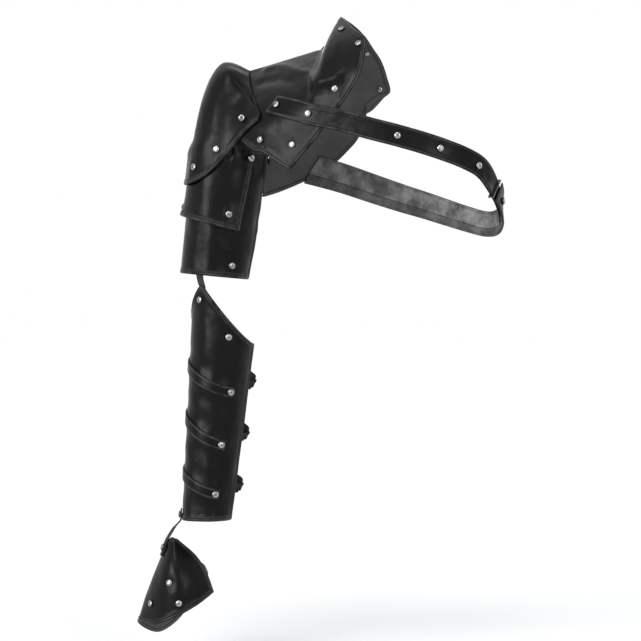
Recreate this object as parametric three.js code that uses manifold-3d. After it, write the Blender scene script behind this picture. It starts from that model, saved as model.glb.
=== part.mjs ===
// Arm armour for the right arm: a riveted leather yoke with a shoulder cap, two upper arm lames,
// a strapped forearm bracer and a hand guard, held on the body by a strap round the chest.
// Millimetres. +Z is up, the wearer faces -Y, and the armoured right arm is on the -X side.
// The origin is on the wearer's shoulder point, in the middle plane between chest and back.
import * as THREE from "three";
import { mergeVertices } from "three/addons/utils/BufferGeometryUtils.js";
import Module from "manifold-3d";

const wasm = await Module();
wasm.setup();

// Driving dimensions of the body that the armour is cut for
const shoulderReach = 138; // shoulder point to the middle of the body
const yokeDrop = 95; // shoulder seam to the level where the chest stands upright
const chestDepth = 90; // middle plane to the chest
const backDepth = 85; // middle plane to the back
const chestFlank = 180; // half width of the chest's curve on the armoured side
const backFlank = 158; // half width of the back's curve on the armoured side
const strapReach = 148; // middle of the body to the chest strap under the other arm
const shoulderRise = 20; // height of the shoulder seam over the shoulder point
const shoulderSlopeShare = 0.264; // rise of the shoulder seam towards the neck
const collarRise = 31; // extra height of the collar beside the neck
const collarStart = 74; // where the seam starts to rise into the collar
const collarSpan = 25; // length over which it rises

// Driving dimensions of the arm
const armTopX = -36; // upper arm's middle line at the armpit
const armMiddleY = -14; // upper arm's middle line, front to back
const armpitZ = -90; // height of the armpit
const armLeanShare = 0.135; // outward lean of the upper arm
const armRadius = 44.6; // lower lame's outer face at the armpit
const armTaper = 3.3; // narrowing from the armpit to the elbow
const elbowZ = -230; // lower lame's hem
const forearmTopX = -45.1; // forearm's middle line at forearmTopZ
const forearmTopZ = -314.4;
const forearmMiddleY = -16;
const forearmLeanShare = 0.0924;
const forearmRadius = 38; // bracer's outer face at forearmTopZ
const forearmTaperShare = 0.0395;
const wristZ = -522; // bracer's lower hem
const handLength = 100;

// Leather, straps and gaps
const leatherWall = 1.8;
const strapWall = 2;
const layerGap = 0.8; // between two loose layers
const seamGap = 0.4; // between two sewn edges
const elasticWall = 1.6;

// Rivets
const rivetHeadRadius = 4.4;
const rivetHeadHeight = 2.3;
const rivetShankRadius = 1.5;
const rivetBackRadius = 3;
const rivetBackHeight = 0.9;
const rivetGap = 0.35; // head to leather, and back washer to leather
const rivetReach = 14; // how far from a spot its layers are looked for
const holeClearance = 0.35;
const rivetSides = 8;
const cutOverrun = 3;

const leather = new THREE.MeshStandardMaterial({ color: 0x161616, roughness: 0.36 });
const nickel = new THREE.MeshStandardMaterial({ color: 0xc4c4c4, roughness: 0.22, metalness: 1 });
const darkMetal = new THREE.MeshStandardMaterial({ color: 0x3c3c3e, roughness: 0.35, metalness: 1 });
const elastic = new THREE.MeshStandardMaterial({ color: 0x1d1d1d, roughness: 0.75 });

const { clamp, degToRad, lerp } = THREE.MathUtils;
const vector = (list) => new THREE.Vector3(...list);

// Share of a smooth step from 0 to 1
function smooth(value) {
  const t = clamp(value, 0, 1);
  return t * t * (3 - 2 * t);
}

// Smooth curve through a list of places, each a list of numbers; u runs from 0 to 1
function through(places) {
  const last = places.length - 1;
  return (u) => {
    const along = clamp(u, 0, 1) * last;
    const i = Math.min(Math.floor(along), last - 1);
    const f = along - i;
    const [a, b, c, d] = [i - 1, i, i + 1, i + 2].map((k) => places[clamp(k, 0, last)]);
    return b.map((_, k) => {
      const square = 2 * a[k] - 5 * b[k] + 4 * c[k] - d[k];
      const cube = 3 * (b[k] - c[k]) + d[k] - a[k];
      return b[k] + 0.5 * f * (c[k] - a[k] + f * (square + f * cube));
    });
  };
}

// Patch between four edge curves; s runs along the top and bottom, t down the sides
function patch(top, bottom, left, right) {
  const [north, south, west, east] = [top, bottom, left, right].map(through);
  return (s, t) => {
    const [n, b, w, e] = [north(s), south(s), west(t), east(t)];
    const corners = [north(0), north(1), south(0), south(1)];
    return n.map((_, k) => {
      const ruled = lerp(n[k], b[k], t) + lerp(w[k], e[k], s);
      const flat = lerp(lerp(corners[0][k], corners[1][k], s), lerp(corners[2][k], corners[3][k], s), t);
      return ruled - flat;
    });
  };
}

// Outward normal of a sheet; s runs to the right and t down, seen from outside, or facing is -1
function normalOf(at, s, t, facing) {
  const step = 1e-3;
  const along = at(Math.min(s + step, 1), t).sub(at(Math.max(s - step, 0), t));
  const down = at(s, Math.min(t + step, 1)).sub(at(s, Math.max(t - step, 0)));
  return down.cross(along).multiplyScalar(facing).normalize();
}

function spotOn(at, s, t, facing = 1) {
  return { point: at(s, t), normal: normalOf(at, s, t, facing) };
}

// Closed sheet of even wall: the outer face is at(s, t), the inner face lies one wall inside;
// trim can hold the inner face's corners back from a seam
function sheet(at, across, down, wall, facing = 1, trim = (point) => point) {
  const outer = [];
  const inner = [];
  for (let j = 0; j <= down; j++)
    for (let i = 0; i <= across; i++) {
      const { point, normal } = spotOn(at, i / across, j / down, facing);
      outer.push(point);
      inner.push(trim(point.clone().addScaledVector(normal, -wall)));
    }
  const count = outer.length;
  const index = [];
  const face = (a, b, c, d) => (facing > 0 ? index.push(a, b, c, a, c, d) : index.push(a, c, b, a, d, c));
  const spot = (i, j) => j * (across + 1) + i;
  for (let j = 0; j < down; j++)
    for (let i = 0; i < across; i++) {
      const [a, b, c, d] = [spot(i, j), spot(i, j + 1), spot(i + 1, j + 1), spot(i + 1, j)];
      face(a, b, c, d);
      face(count + d, count + c, count + b, count + a);
    }
  const rim = (a, b) => face(a, b, count + b, count + a);
  for (let i = 0; i < across; i++) {
    rim(spot(i, 0), spot(i + 1, 0));
    rim(spot(i + 1, down), spot(i, down));
  }
  for (let j = 0; j < down; j++) {
    rim(spot(0, j + 1), spot(0, j));
    rim(spot(across, j), spot(across, j + 1));
  }
  const geometry = new THREE.BufferGeometry().setFromPoints([...outer, ...inner]);
  geometry.setIndex(index);
  return geometry;
}

function toSolid(geometry) {
  const bare = geometry.clone();
  bare.deleteAttribute("normal");
  bare.deleteAttribute("uv");
  const merged = mergeVertices(bare);
  return new wasm.Manifold(
    new wasm.Mesh({
      numProp: 3,
      vertProperties: merged.attributes.position.array,
      triVerts: new Uint32Array(merged.index.array),
    }),
  );
}

function toGeometry(solid) {
  const mesh = solid.getMesh();
  const geometry = new THREE.BufferGeometry();
  geometry.setAttribute("position", new THREE.BufferAttribute(mesh.vertProperties, 3));
  geometry.setIndex(new THREE.BufferAttribute(mesh.triVerts, 1));
  return geometry;
}

const root = new THREE.Group();
const sheets = new Map(); // leather and elastic pieces before their rivet holes are cut
const seated = []; // each rivet's place, reach and layers

function add(name, geometry, material) {
  const mesh = new THREE.Mesh(geometry, material);
  mesh.name = name;
  root.add(mesh);
  return mesh;
}

function addSheet(name, geometry, material) {
  geometry.computeBoundingSphere();
  const probe = new THREE.Mesh(geometry, new THREE.MeshBasicMaterial({ side: THREE.DoubleSide }));
  probe.updateMatrixWorld();
  sheets.set(name, { geometry, material, probe });
}

// Turns something built along +Y so that it points along a spot's normal
function placeOn(geometry, { point, normal }) {
  const turn = new THREE.Quaternion().setFromUnitVectors(new THREE.Vector3(0, 1, 0), normal);
  return geometry.applyQuaternion(turn).translate(point.x, point.y, point.z);
}

// Heights over a spot at which lines parallel to its normal meet the layers, round a circle
function heights({ point, normal }, radius, layers) {
  const sideways = new THREE.Vector3(normal.y, normal.z, normal.x).cross(normal).normalize();
  const found = [];
  for (let k = 0; k <= rivetSides; k++) {
    const offset = sideways.clone().multiplyScalar(k === rivetSides ? 0 : radius);
    offset.applyAxisAngle(normal, (2 * Math.PI * k) / rivetSides);
    const start = point.clone().add(offset).addScaledVector(normal, rivetReach);
    const caster = new THREE.Raycaster(start, normal.clone().negate(), 0, 2 * rivetReach);
    const hits = caster.intersectObjects(layers.map((name) => sheets.get(name).probe), false);
    found.push(...hits.map(({ distance }) => rivetReach - distance));
  }
  return found;
}

// Domed rivet with its shank and back washer, through the named layers at a spot; where another
// layer slides just inside, the rivet is flush and its shank ends level with the leather
function rivet(name, spot, layers, flush = false) {
  const seat = Math.max(...heights(spot, rivetHeadRadius, layers)) + rivetGap;
  const inner = Math.min(...heights(spot, flush ? rivetShankRadius : rivetBackRadius, layers));
  const under = flush ? inner : inner - rivetGap;
  const washer = [
    [0, under - rivetBackHeight],
    [rivetBackRadius, under - rivetBackHeight],
    [rivetBackRadius, under],
  ];
  const profile = [
    ...(flush ? [[0, under]] : washer),
    [rivetShankRadius, under],
    [rivetShankRadius, seat],
    [rivetHeadRadius, seat],
    [rivetHeadRadius * 0.8, seat + rivetHeadHeight * 0.68],
    [0, seat + rivetHeadHeight],
  ].map(([r, y]) => new THREE.Vector2(r, y));
  add(name, placeOn(new THREE.LatheGeometry(profile, rivetSides), spot), nickel);
  seated.push({ spot, seat, under, layers });
}

// Adds every sheet with a hole for each rivet that passes through it
function cutAndAddSheets() {
  for (const [name, { geometry, material }] of sheets) {
    let solid = toSolid(geometry);
    for (const { spot, seat, under, layers } of seated) {
      if (!layers.includes(name)) continue;
      const radius = rivetShankRadius + holeClearance;
      const length = seat - under + 2 * cutOverrun;
      const tool = new THREE.CylinderGeometry(radius, radius, length, rivetSides);
      tool.translate(0, (seat + under) / 2, 0);
      solid = solid.subtract(toSolid(placeOn(tool, spot)));
    }
    add(name, toGeometry(solid), material);
  }
}

// The body form: depth of chest or back at a place, and the shoulder seam over it
const front = { side: -1, depth: chestDepth, flank: chestFlank, roundness: 2.6 };
const back = { side: 1, depth: backDepth, flank: backFlank, roundness: 2.2 };

function seamHeight(x) {
  return shoulderRise + shoulderSlopeShare * x + collarRise * smooth((x - collarStart) / collarSpan);
}

function bodyPoint(x, z, { side, depth, flank, roundness }) {
  const out = clamp(Math.abs(x - shoulderReach) / flank, 0, 1);
  const fullDepth = depth * (1 - out ** roundness) ** (1 / roundness);
  const fall = clamp((seamHeight(x) - z) / yokeDrop, 0, 1);
  return new THREE.Vector3(x, side * fullDepth * (1 - (1 - fall) ** 2), z);
}

// A place on the body form from its shares, lifted off it along the normal
function onBody(xShare, zShare, form, lift = 0) {
  const x = xShare * shoulderReach;
  const z = zShare * yokeDrop;
  const step = yokeDrop * 1e-3;
  const point = bodyPoint(x, z, form);
  const along = bodyPoint(x + step, z, form).sub(bodyPoint(x - step, z, form));
  const down = bodyPoint(x, z - step, form).sub(bodyPoint(x, z + step, form));
  const normal = down.cross(along).multiplyScalar(-form.side).normalize();
  return { point: point.addScaledVector(normal, lift), normal };
}

// Yoke panels: their outlines on the body form
const armholeTopShare = -0.136;
const collarTipShare = 0.712;
const seamLineShares = Array.from({ length: 25 }, (_, i) => {
  const u = i / 24;
  const xShare = lerp(armholeTopShare, collarTipShare, u);
  return [xShare, seamHeight(xShare * shoulderReach) / yokeDrop];
});
const frontBottomShares = [[-0.044, -0.764], [0.08, -0.898], [0.169, -0.928], [0.301, -1.046],
  [0.429, -1.161]];
const frontArmholeShares = [seamLineShares[0], [-0.05, -0.1], [0.012, -0.33], [0.02, -0.5], [-0.01, -0.64],
  frontBottomShares[0]];
const frontEdgeShares = [seamLineShares.at(-1), [0.798, 0.717], [0.943, 0.541], [1.05, 0.43], [1.066, 0.2],
  [1.04, -0.02], [0.946, -0.256], [0.846, -0.446], [0.739, -0.641], [0.634, -0.83], [0.528, -0.995],
  frontBottomShares.at(-1)];
const backBottomShares = [[-0.07, -1.4], [0.069, -1.313], [0.29, -1.155], [0.421, -1.042], [0.551, -0.9]];
const backArmholeShares = [seamLineShares[0], [-0.03, -0.1], [0.02, -0.35], [0.02, -0.7], [-0.055, -1.02],
  backBottomShares[0]];
const backEdgeShares = [seamLineShares.at(-1), [0.79, 0.72], [0.854, 0.606], [0.894, 0.48], [0.944, 0.331],
  [0.975, 0.14], [0.995, -0.06], [0.89, -0.125], [0.8, -0.24], [0.765, -0.46], [0.7, -0.66], [0.63, -0.78],
  backBottomShares.at(-1)];

const frontPatch = patch(seamLineShares, frontBottomShares, frontArmholeShares, frontEdgeShares);
const backPatch = patch(seamLineShares, backBottomShares, backArmholeShares, backEdgeShares);
const seamShift = (form) => new THREE.Vector3(0, (form.side * seamGap) / 2, 0);
const yokeFrontAt = (s, t) => onBody(...frontPatch(s, t), front).point.add(seamShift(front));
const yokeBackAt = (s, t) => onBody(...backPatch(s, t), back).point.add(seamShift(back));

const yokeRivetShares = [[0.783, 0.599], [0.995, 0.363], [0.825, -0.197], [0.448, -0.855], [0.152, -0.777]];
const backRivetShares = [[0.839, 0.428], [0.912, -0.013]];

// Path of spots, each with a point and an outward normal, as smooth curves; u runs from 0 to 1
function pathThrough(spots) {
  const points = through(spots.map(({ point }) => point.toArray()));
  const normals = through(spots.map(({ normal }) => normal.toArray()));
  return (u) => ({ point: vector(points(u)), normal: vector(normals(u)).normalize() });
}

// Outer face of a strap along a path; s runs along it, t across it, and slant skews its start, the
// other way where it is negative
function strapAt(path, widthAt, slantShare = 0) {
  const step = 1e-3;
  return (s, t) => {
    const u = s + (1 - s) * (slantShare > 0 ? slantShare * (1 - t) : -slantShare * t);
    const { point, normal } = path(u);
    const along = path(Math.min(u + step, 1)).point.sub(path(Math.max(u - step, 0)).point);
    const across = along.cross(normal).normalize();
    return point.addScaledVector(across, widthAt(u) * (t - 0.5));
  };
}

// Chest strap: over the front panel, round the body under the other arm, to the back panel's inside
const strapLift = layerGap + strapWall; // the front length's outer face over the body form
const strapTuck = leatherWall + layerGap; // the back length's outer face under the back panel
const frontStrapWidth = 24;
const backStrapWidth = 36;
const backStrapEndWidth = 29;
const strapFirstTurn = 96; // turn round the body in degrees, from the side under the other arm
const strapTurnStep = 12;
const strapFallShares = [-0.583, -0.68, -0.767, -0.856, -0.947, -1.038, -1.15, -1.35, -1.54, -1.68, -1.77,
  -1.775, -1.71, -1.62, -1.52, -1.42, -1.31];
const frontStrapOnYokeShares = [[0.24, -0.342], [0.298, -0.368], [0.447, -0.425], [0.597, -0.487],
  [0.74, -0.535]];
const backStrapOnYokeShares = [[0.275, -1.03], [0.43, -1.09], [0.6, -1.165]];
const overlapTurns = [-12, 7.5]; // where the front length's tail lies behind the back length
const overlapLift = 2 * strapLift + layerGap;

function roundBody(turn, lift) {
  const angle = degToRad(turn);
  const depth = turn > 0 ? chestDepth : backDepth;
  const place = (strapFirstTurn - turn) / strapTurnStep;
  const i = clamp(Math.floor(place), 0, strapFallShares.length - 2);
  const fall = lerp(strapFallShares[i], strapFallShares[i + 1], place - i);
  const x = shoulderReach + (strapReach + lift) * Math.cos(angle);
  const y = -(depth + lift) * Math.sin(angle);
  const normal = new THREE.Vector3(Math.cos(angle) / strapReach, -Math.sin(angle) / depth, 0);
  return { point: new THREE.Vector3(x, y, fall * yokeDrop), normal: normal.normalize() };
}

const strapTurns = strapFallShares.map((_, k) => strapFirstTurn - k * strapTurnStep);
const frontStrapTurns = [...strapTurns.filter((turn) => turn > overlapTurns[0]), overlapTurns[0]];
const backStrapTurns = [overlapTurns[1], ...strapTurns.filter((turn) => turn < overlapTurns[1])].reverse();
const frontStrapPath = pathThrough([
  ...frontStrapOnYokeShares.map((place) => onBody(...place, front, strapLift)),
  ...frontStrapTurns.map((turn) => roundBody(turn, strapLift)),
]);
const backStrapPath = pathThrough([
  ...backStrapOnYokeShares.map((place) => onBody(...place, back, -strapTuck)),
  ...backStrapTurns.map((turn) => roundBody(turn, overlapLift * smooth((turn + 72) / 48))),
]);
const frontSlantShare = 0.03;
const backSlantShare = -0.045;
const frontStrapAt = strapAt(frontStrapPath, () => frontStrapWidth, frontSlantShare);
const backStrapAt = strapAt(backStrapPath, (u) => lerp(backStrapWidth, backStrapEndWidth, smooth(u * 1.5)),
  backSlantShare);

const strapRivetShares = [[0.298, -0.368], [0.597, -0.487]];
const studTurns = [71.1, 50.9, 27.4];
const endStudTurn = 1;

// Shoulder cap: columns from its back corner round the outside of the shoulder to its front corner;
// each starts on the armhole seam, given on the body form, and goes on through places given from the
// arm's middle line in shares of armRadius, with heights in shares of yokeDrop
const capLift = leatherWall + layerGap;
const capGap = 1.4; // cap to upper lame
const capYokeStart = -16; // where the cap starts to lie on the yoke
const capYokeSpan = 8;
const capHemStartZ = -66; // height where the cap starts to follow the upper lame
const capHemSpan = 22;
const lameLift = leatherWall + 1.5 * layerGap;
const capColumnShares = [
  [[0.13, -0.453], back, [[1.144, 1.603, -0.526]]],
  [[0.036, -0.253], back, [[0.628, 1.324, -0.695]]],
  [[-0.043, -0.053], back, [[0.539, 1.008, -0.147], [0.381, 1.098, -0.358], [0.247, 1.142, -0.611],
    [0.134, 1.166, -0.884]]],
  [[-0.094, 0.095], back, [[0.089, 0.808, 0.147], [-0.268, 0.942, -0.168], [-0.494, 0.987, -0.632],
    [-0.673, 0.987, -1.095]]],
  [[-0.116, 0.16], back, [[-0.224, 0.314, 0.274], [-0.695, 0.246, -0.126], [-0.965, 0.201, -0.695],
    [-1.255, 0.18, -1.221]]],
  [[-0.109, 0.147], front, [[-0.134, -0.225, 0.221], [-0.56, -0.515, -0.168], [-0.784, -0.717, -0.737],
    [-0.942, -0.841, -1.284]]],
  [[-0.072, 0.053], front, [[0.202, -0.606, 0.084], [-0.09, -0.896, -0.253], [-0.224, -1.077, -0.716],
    [-0.292, -1.143, -1.179]]],
  [[-0.022, -0.095], front, [[0.584, -0.762, -0.179], [0.426, -0.988, -0.379], [0.313, -1.122, -0.653],
    [0.224, -1.166, -0.958]]],
  [[0.058, -0.263], front, [[0.941, -1.077, -0.358], [0.875, -1.166, -0.463], [0.807, -1.233, -0.579],
    [0.752, -1.256, -0.695]]],
  [[0.145, -0.447], front, [[1.21, -1.367, -0.526]]],
];
const capCurves = capColumnShares.map(([seam, form, rest]) => {
  const start = onBody(...seam, form, capLift).point.toArray();
  const places = rest.map(([xShare, yShare, zShare]) =>
    [armTopX + xShare * armRadius, armMiddleY + yShare * armRadius, zShare * yokeDrop]);
  return through([start, ...places]);
});
const capSeamAt = through(capColumnShares.map(([seam]) => seam));
const capRidgeShare = 4.5 / (capColumnShares.length - 1);

function capAt(s, t) {
  const net = through(capCurves.map((curve) => curve(t)));
  const seam = onBody(...capSeamAt(s), s < capRidgeShare ? back : front, capLift).point;
  const shift = seam.sub(vector(through(capCurves.map((curve) => curve(0)))(s)));
  return capStandOff(vector(net(s)).addScaledVector(shift, (1 - t) ** 3));
}

// Keeps the cap clear of the yoke under its corners and of the upper lame under its hem
function capStandOff(point) {
  const form = point.y > 0 ? back : front;
  const depth = Math.abs(bodyPoint(point.x, point.z, form).y) + 1.3 * capLift;
  const nearYoke = smooth((point.x - capYokeStart) / capYokeSpan);
  const short = Math.max(depth - Math.abs(point.y), 0) * nearYoke;
  point.y += form.side * short;
  const fromArm = new THREE.Vector3(point.x - armAxisX(point.z), point.y - armMiddleY, 0);
  const need = armRadius + lameLift + leatherWall + capGap;
  const nearHem = smooth((capHemStartZ - point.z) / capHemSpan);
  const lift = Math.max(need - fromArm.length(), 0) * nearHem;
  return point.addScaledVector(fromArm.normalize(), lift);
}

// A spot on a leaning, narrowing tube, whose normal leans with the wall; theta is the turn from the
// outer side (0) over the front (90) to the inner side (180)
function tubeSpot(theta, middle, radius, leanShare, taperShare, lift) {
  const angle = degToRad(theta);
  const out = new THREE.Vector3(-Math.cos(angle), -Math.sin(angle), 0);
  const normal = out.clone().setZ(leanShare * Math.cos(angle) - taperShare).normalize();
  return { point: middle.addScaledVector(out, radius).addScaledVector(normal, lift), normal };
}

function armAxisX(z) {
  return armTopX - armLeanShare * Math.max(armpitZ - z, 0);
}

function armSpot(theta, z, lift = 0) {
  const drop = armpitZ - z;
  const span = armpitZ - elbowZ;
  const radius = armRadius - armTaper * (Math.max(drop, 0) / span) ** 2;
  const leanShare = drop > 0 ? armLeanShare : 0;
  return tubeSpot(theta, new THREE.Vector3(armAxisX(z), armMiddleY, z), radius, leanShare, 0, lift);
}

// Straight steps through a list of numbers; u runs from 0 to 1
function steps(list, u) {
  const along = clamp(u, 0, 1) * (list.length - 1);
  const i = Math.min(Math.floor(along), list.length - 2);
  return lerp(list[i], list[i + 1], along - i);
}

const earTurn = 121; // middle of each ear that carries a pivot
const earHalfTurn = 8;
const earFootTurn = 14; // half width of the ear where it leaves the lame's top edge
const upperLameEnd = 146;
const halfTurns = [0, 18, 36, 54, 70, 84, 98, earTurn - earFootTurn, earTurn - earHalfTurn, earTurn,
  earTurn + earHalfTurn, earTurn + earFootTurn, upperLameEnd];
const upperLameTurns = [...halfTurns.slice(1).map((turn) => -turn).reverse(), ...halfTurns];
const lameTopZ = -98;
const earRise = 36;
const pivotX = -7.5;
const pivotZ = -47;
const earGap = 2; // ear's outer face to the cap's inner face at the pivot
const earHalfWidth = 9;
const earSlopeShare = 0.33;
const earFootShare = 0.58; // rise of the lame's top edge to the foot of an ear
const upperLameHemZ = -169.5;
const hemDropShare = 0.27; // fall of the hem for each millimetre towards the body
const hemDrawTurn = 12; // how far each end edge turns back down to the hem
const spread = 1.4; // widening of the upper lame down to its hem
const flare = 2.4; // extra widening just over the hem

// Each ear reaches from the arm's middle plane to just inside the cap
addSheet("shoulder_cap", sheet(capAt, 18, 9, leatherWall), leather);
const earReach = [-1, 1].map((side) => {
  const middle = new THREE.Vector3(pivotX, armMiddleY, pivotZ);
  const caster = new THREE.Raycaster(middle, new THREE.Vector3(0, side, 0));
  return caster.intersectObject(sheets.get("shoulder_cap").probe)[0].distance - earGap;
});

const earShare = (theta) =>
  smooth((earFootTurn - Math.abs(Math.abs(theta) - earTurn)) / (earFootTurn - earHalfTurn));

function upperLameAt(s, t) {
  const drawn = steps(upperLameTurns, s);
  const theta = drawn - Math.sign(drawn) * hemDrawTurn * t * smooth((Math.abs(drawn) - 98) / 48);
  const shoulder = earFootShare * earRise * smooth((Math.abs(theta) - 50) / 40);
  const top = lameTopZ + shoulder + earRise * earShare(theta);
  const hem = upperLameHemZ + hemDropShare * armRadius * Math.cos(degToRad(theta));
  const z = lerp(top, hem, t);
  const point = armSpot(theta, z, lameLift + spread * t + flare * smooth((t - 0.75) / 0.25)).point;
  const side = theta > 0 ? -1 : 1;
  const across = (earHalfWidth / earHalfTurn) * (Math.abs(theta) - earTurn);
  const bow = earSlopeShare * (across - Math.max(z - pivotZ, 0));
  const reach = earReach[theta > 0 ? 0 : 1] + bow;
  const flat = new THREE.Vector3(pivotX + across, armMiddleY + side * reach, z);
  return point.lerp(flat, smooth((z - armpitZ) / (1.1 * earRise)) * smooth((Math.abs(theta) - 90) / 16));
}

const lowerLameTurns = [-150, 188];
const lowerLameTopZ = -82;
const lowerHemDropShare = 0.09;

function lowerLameAt(s, t) {
  const theta = steps(lowerLameTurns, s);
  const hem = elbowZ + lowerHemDropShare * armRadius * Math.cos(degToRad(theta));
  return armSpot(theta, lerp(lowerLameTopZ, hem, t)).point;
}

// Bracer: the same turns round the forearm
function forearmSpot(theta, z, lift = 0) {
  const drop = forearmTopZ - z;
  const radius = forearmRadius - forearmTaperShare * drop;
  const middle = new THREE.Vector3(forearmTopX - forearmLeanShare * drop, forearmMiddleY, z);
  return tubeSpot(theta, middle, radius, forearmLeanShare, forearmTaperShare, lift);
}

const bracerTurns = [-117, 187];
const bracerPeakTurn = 57;
const bracerPeakHalf = 4;
const bracerPeakZ = -243.6;
const bracerPeakDrop = 68;
const bracerTopAt = (theta) => {
  const off = Math.max(Math.abs(theta - bracerPeakTurn) - bracerPeakHalf, 0);
  const span = bracerTurns[1] - bracerPeakTurn - bracerPeakHalf;
  return bracerPeakZ - bracerPeakDrop * Math.sin(degToRad(90 * Math.min(off / span, 1))) ** 1.15;
};
const bracerAt = (s, t) => {
  const theta = steps(bracerTurns, s);
  return forearmSpot(theta, lerp(bracerTopAt(theta), wristZ, t)).point;
};

// Hand guard: columns from its back edge to its front edge, in shares of handLength from the wrist
const handColumnShares = [
  [[-0.37, 0.13, -0.31], [-0.37, 0.29, -0.62], [-0.362, 0.4, -0.86], [-0.358, 0.48, -1.077]],
  [[-0.42, 0.12, -0.33], [-0.49, 0.28, -0.72], [-0.53, 0.39, -1], [-0.543, 0.46, -1.297]],
  [[-0.47, 0.08, -0.34], [-0.6, 0.22, -0.76], [-0.69, 0.32, -1.07], [-0.723, 0.38, -1.426]],
  [[-0.499, 0.02, -0.329], [-0.67, 0.14, -0.735], [-0.794, 0.2, -1.027], [-0.853, 0.22, -1.374]],
  [[-0.498, -0.04, -0.299], [-0.663, -0.04, -0.696], [-0.773, -0.02, -0.974], [-0.863, -0.02, -1.255]],
  [[-0.436, -0.09, -0.232], [-0.492, -0.22, -0.579], [-0.548, -0.24, -0.926], [-0.573, -0.24, -1.25]],
  [[-0.391, -0.11, -0.223], [-0.323, -0.27, -0.521], [-0.272, -0.31, -0.824], [-0.275, -0.3, -1.135]],
  [[-0.369, -0.1, -0.229], [-0.196, -0.2, -0.501], [-0.101, -0.22, -0.734], [-0.058, -0.2, -1.009]],
  [[-0.357, -0.06, -0.239], [-0.124, -0.04, -0.445], [0.002, -0.02, -0.647], [0.084, 0, -0.871]],
];
const wrist = new THREE.Vector3(
  forearmTopX - forearmLeanShare * (forearmTopZ - wristZ), forearmMiddleY, wristZ,
);
const handCurves = handColumnShares.map(through);
const handAt = (s, t) =>
  vector(through(handCurves.map((curve) => curve(t)))(s)).multiplyScalar(handLength).add(wrist);

// Straps that close the bracer: each starts at a rivet on its front, runs round the outer side and the
// back, leaves the shell's back edge and goes through a buckle that a short tab ties to the front edge.
// psi is the turn from the outer silhouette; each row is a place and a slant in shares of the bracer's
// length, and the turn of the rivet
const bracerLength = bracerPeakZ - wristZ;
const closureShares = [[0.379, 0.072, 116], [0.603, 0.075, 108], [0.832, 0.057, 105.6]];
const psiToTheta = 15;
const slantTurn = 130;
const narrowStrapWidth = 12;
const narrowStrapWall = 1.6;
const narrowGap = 0.4;
const leaveTurn = -132; // where a strap leaves the shell's back edge
const strapTailTurn = 9; // strap beyond its rivet
const bridgeBow = 60; // radius of the strap over the opening
const bridgeShare = 0.75; // length of the bridge in shares of the forearm's radius
const tailRoom = 6.9; // buckle's middle to the strap's end
const barHalfSpan = 6.6; // buckle's middle to the middle of each cross bar
const barWidth = 2;
const barDepth = 1.6;
const buckleHoleWidth = 17;
const buckleTilt = 22; // degrees; the far bar lies outside the strap and the near bar inside it
const tabWall = 1;
const tabWidth = 10;
const tabGap = 0.45; // bar's corner to the hook round it
const hookRadius = Math.hypot(barWidth, barDepth) / 2 + tabGap + tabWall;
const prongRadius = 0.7;
const prongLength = 12.6;
const prongWidth = 2.4;
const prongTilt = 3;
const tabSlot = 3.4;

function closurePlace([placeShare, slantShare], psi, lift) {
  const slant = slantShare * bracerLength * Math.cos(degToRad(psi - slantTurn));
  return forearmSpot(psi + psiToTheta, bracerPeakZ - placeShare * bracerLength - slant, lift);
}

// A spot with its direction of travel, moved forward along a bow of the given radius
function frameAt(spot, next) {
  const along = next.point.clone().sub(spot.point).normalize();
  const normal = spot.normal.clone().addScaledVector(along, -along.dot(spot.normal)).normalize();
  return { point: spot.point, along, normal, across: normal.clone().cross(along) };
}

function bowed({ point, along, normal, across }, distance, bow) {
  const angle = distance / bow;
  const forward = along.clone().multiplyScalar(Math.cos(angle)).addScaledVector(normal, -Math.sin(angle));
  const out = normal.clone().multiplyScalar(Math.cos(angle)).addScaledVector(along, Math.sin(angle));
  const moved = point.clone().addScaledVector(along, bow * Math.sin(angle));
  moved.addScaledVector(normal, -bow * (1 - Math.cos(angle)));
  return { point: moved, along: forward, normal: out, across };
}

const inFrame = ({ point, along, normal, across }) =>
  new THREE.Matrix4().makeBasis(along, across, normal).setPosition(point);

// Rectangular ring lying in the plane of x and y, with its depth along z
function ringSolid(length, width, holeLength, holeWidth, depth) {
  const outer = new THREE.BoxGeometry(length, width, depth);
  const hole = new THREE.BoxGeometry(holeLength, holeWidth, depth + 2 * cutOverrun);
  return toSolid(outer).subtract(toSolid(hole));
}

function placed(solid, matrix) {
  return toGeometry(solid).applyMatrix4(matrix);
}

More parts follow.
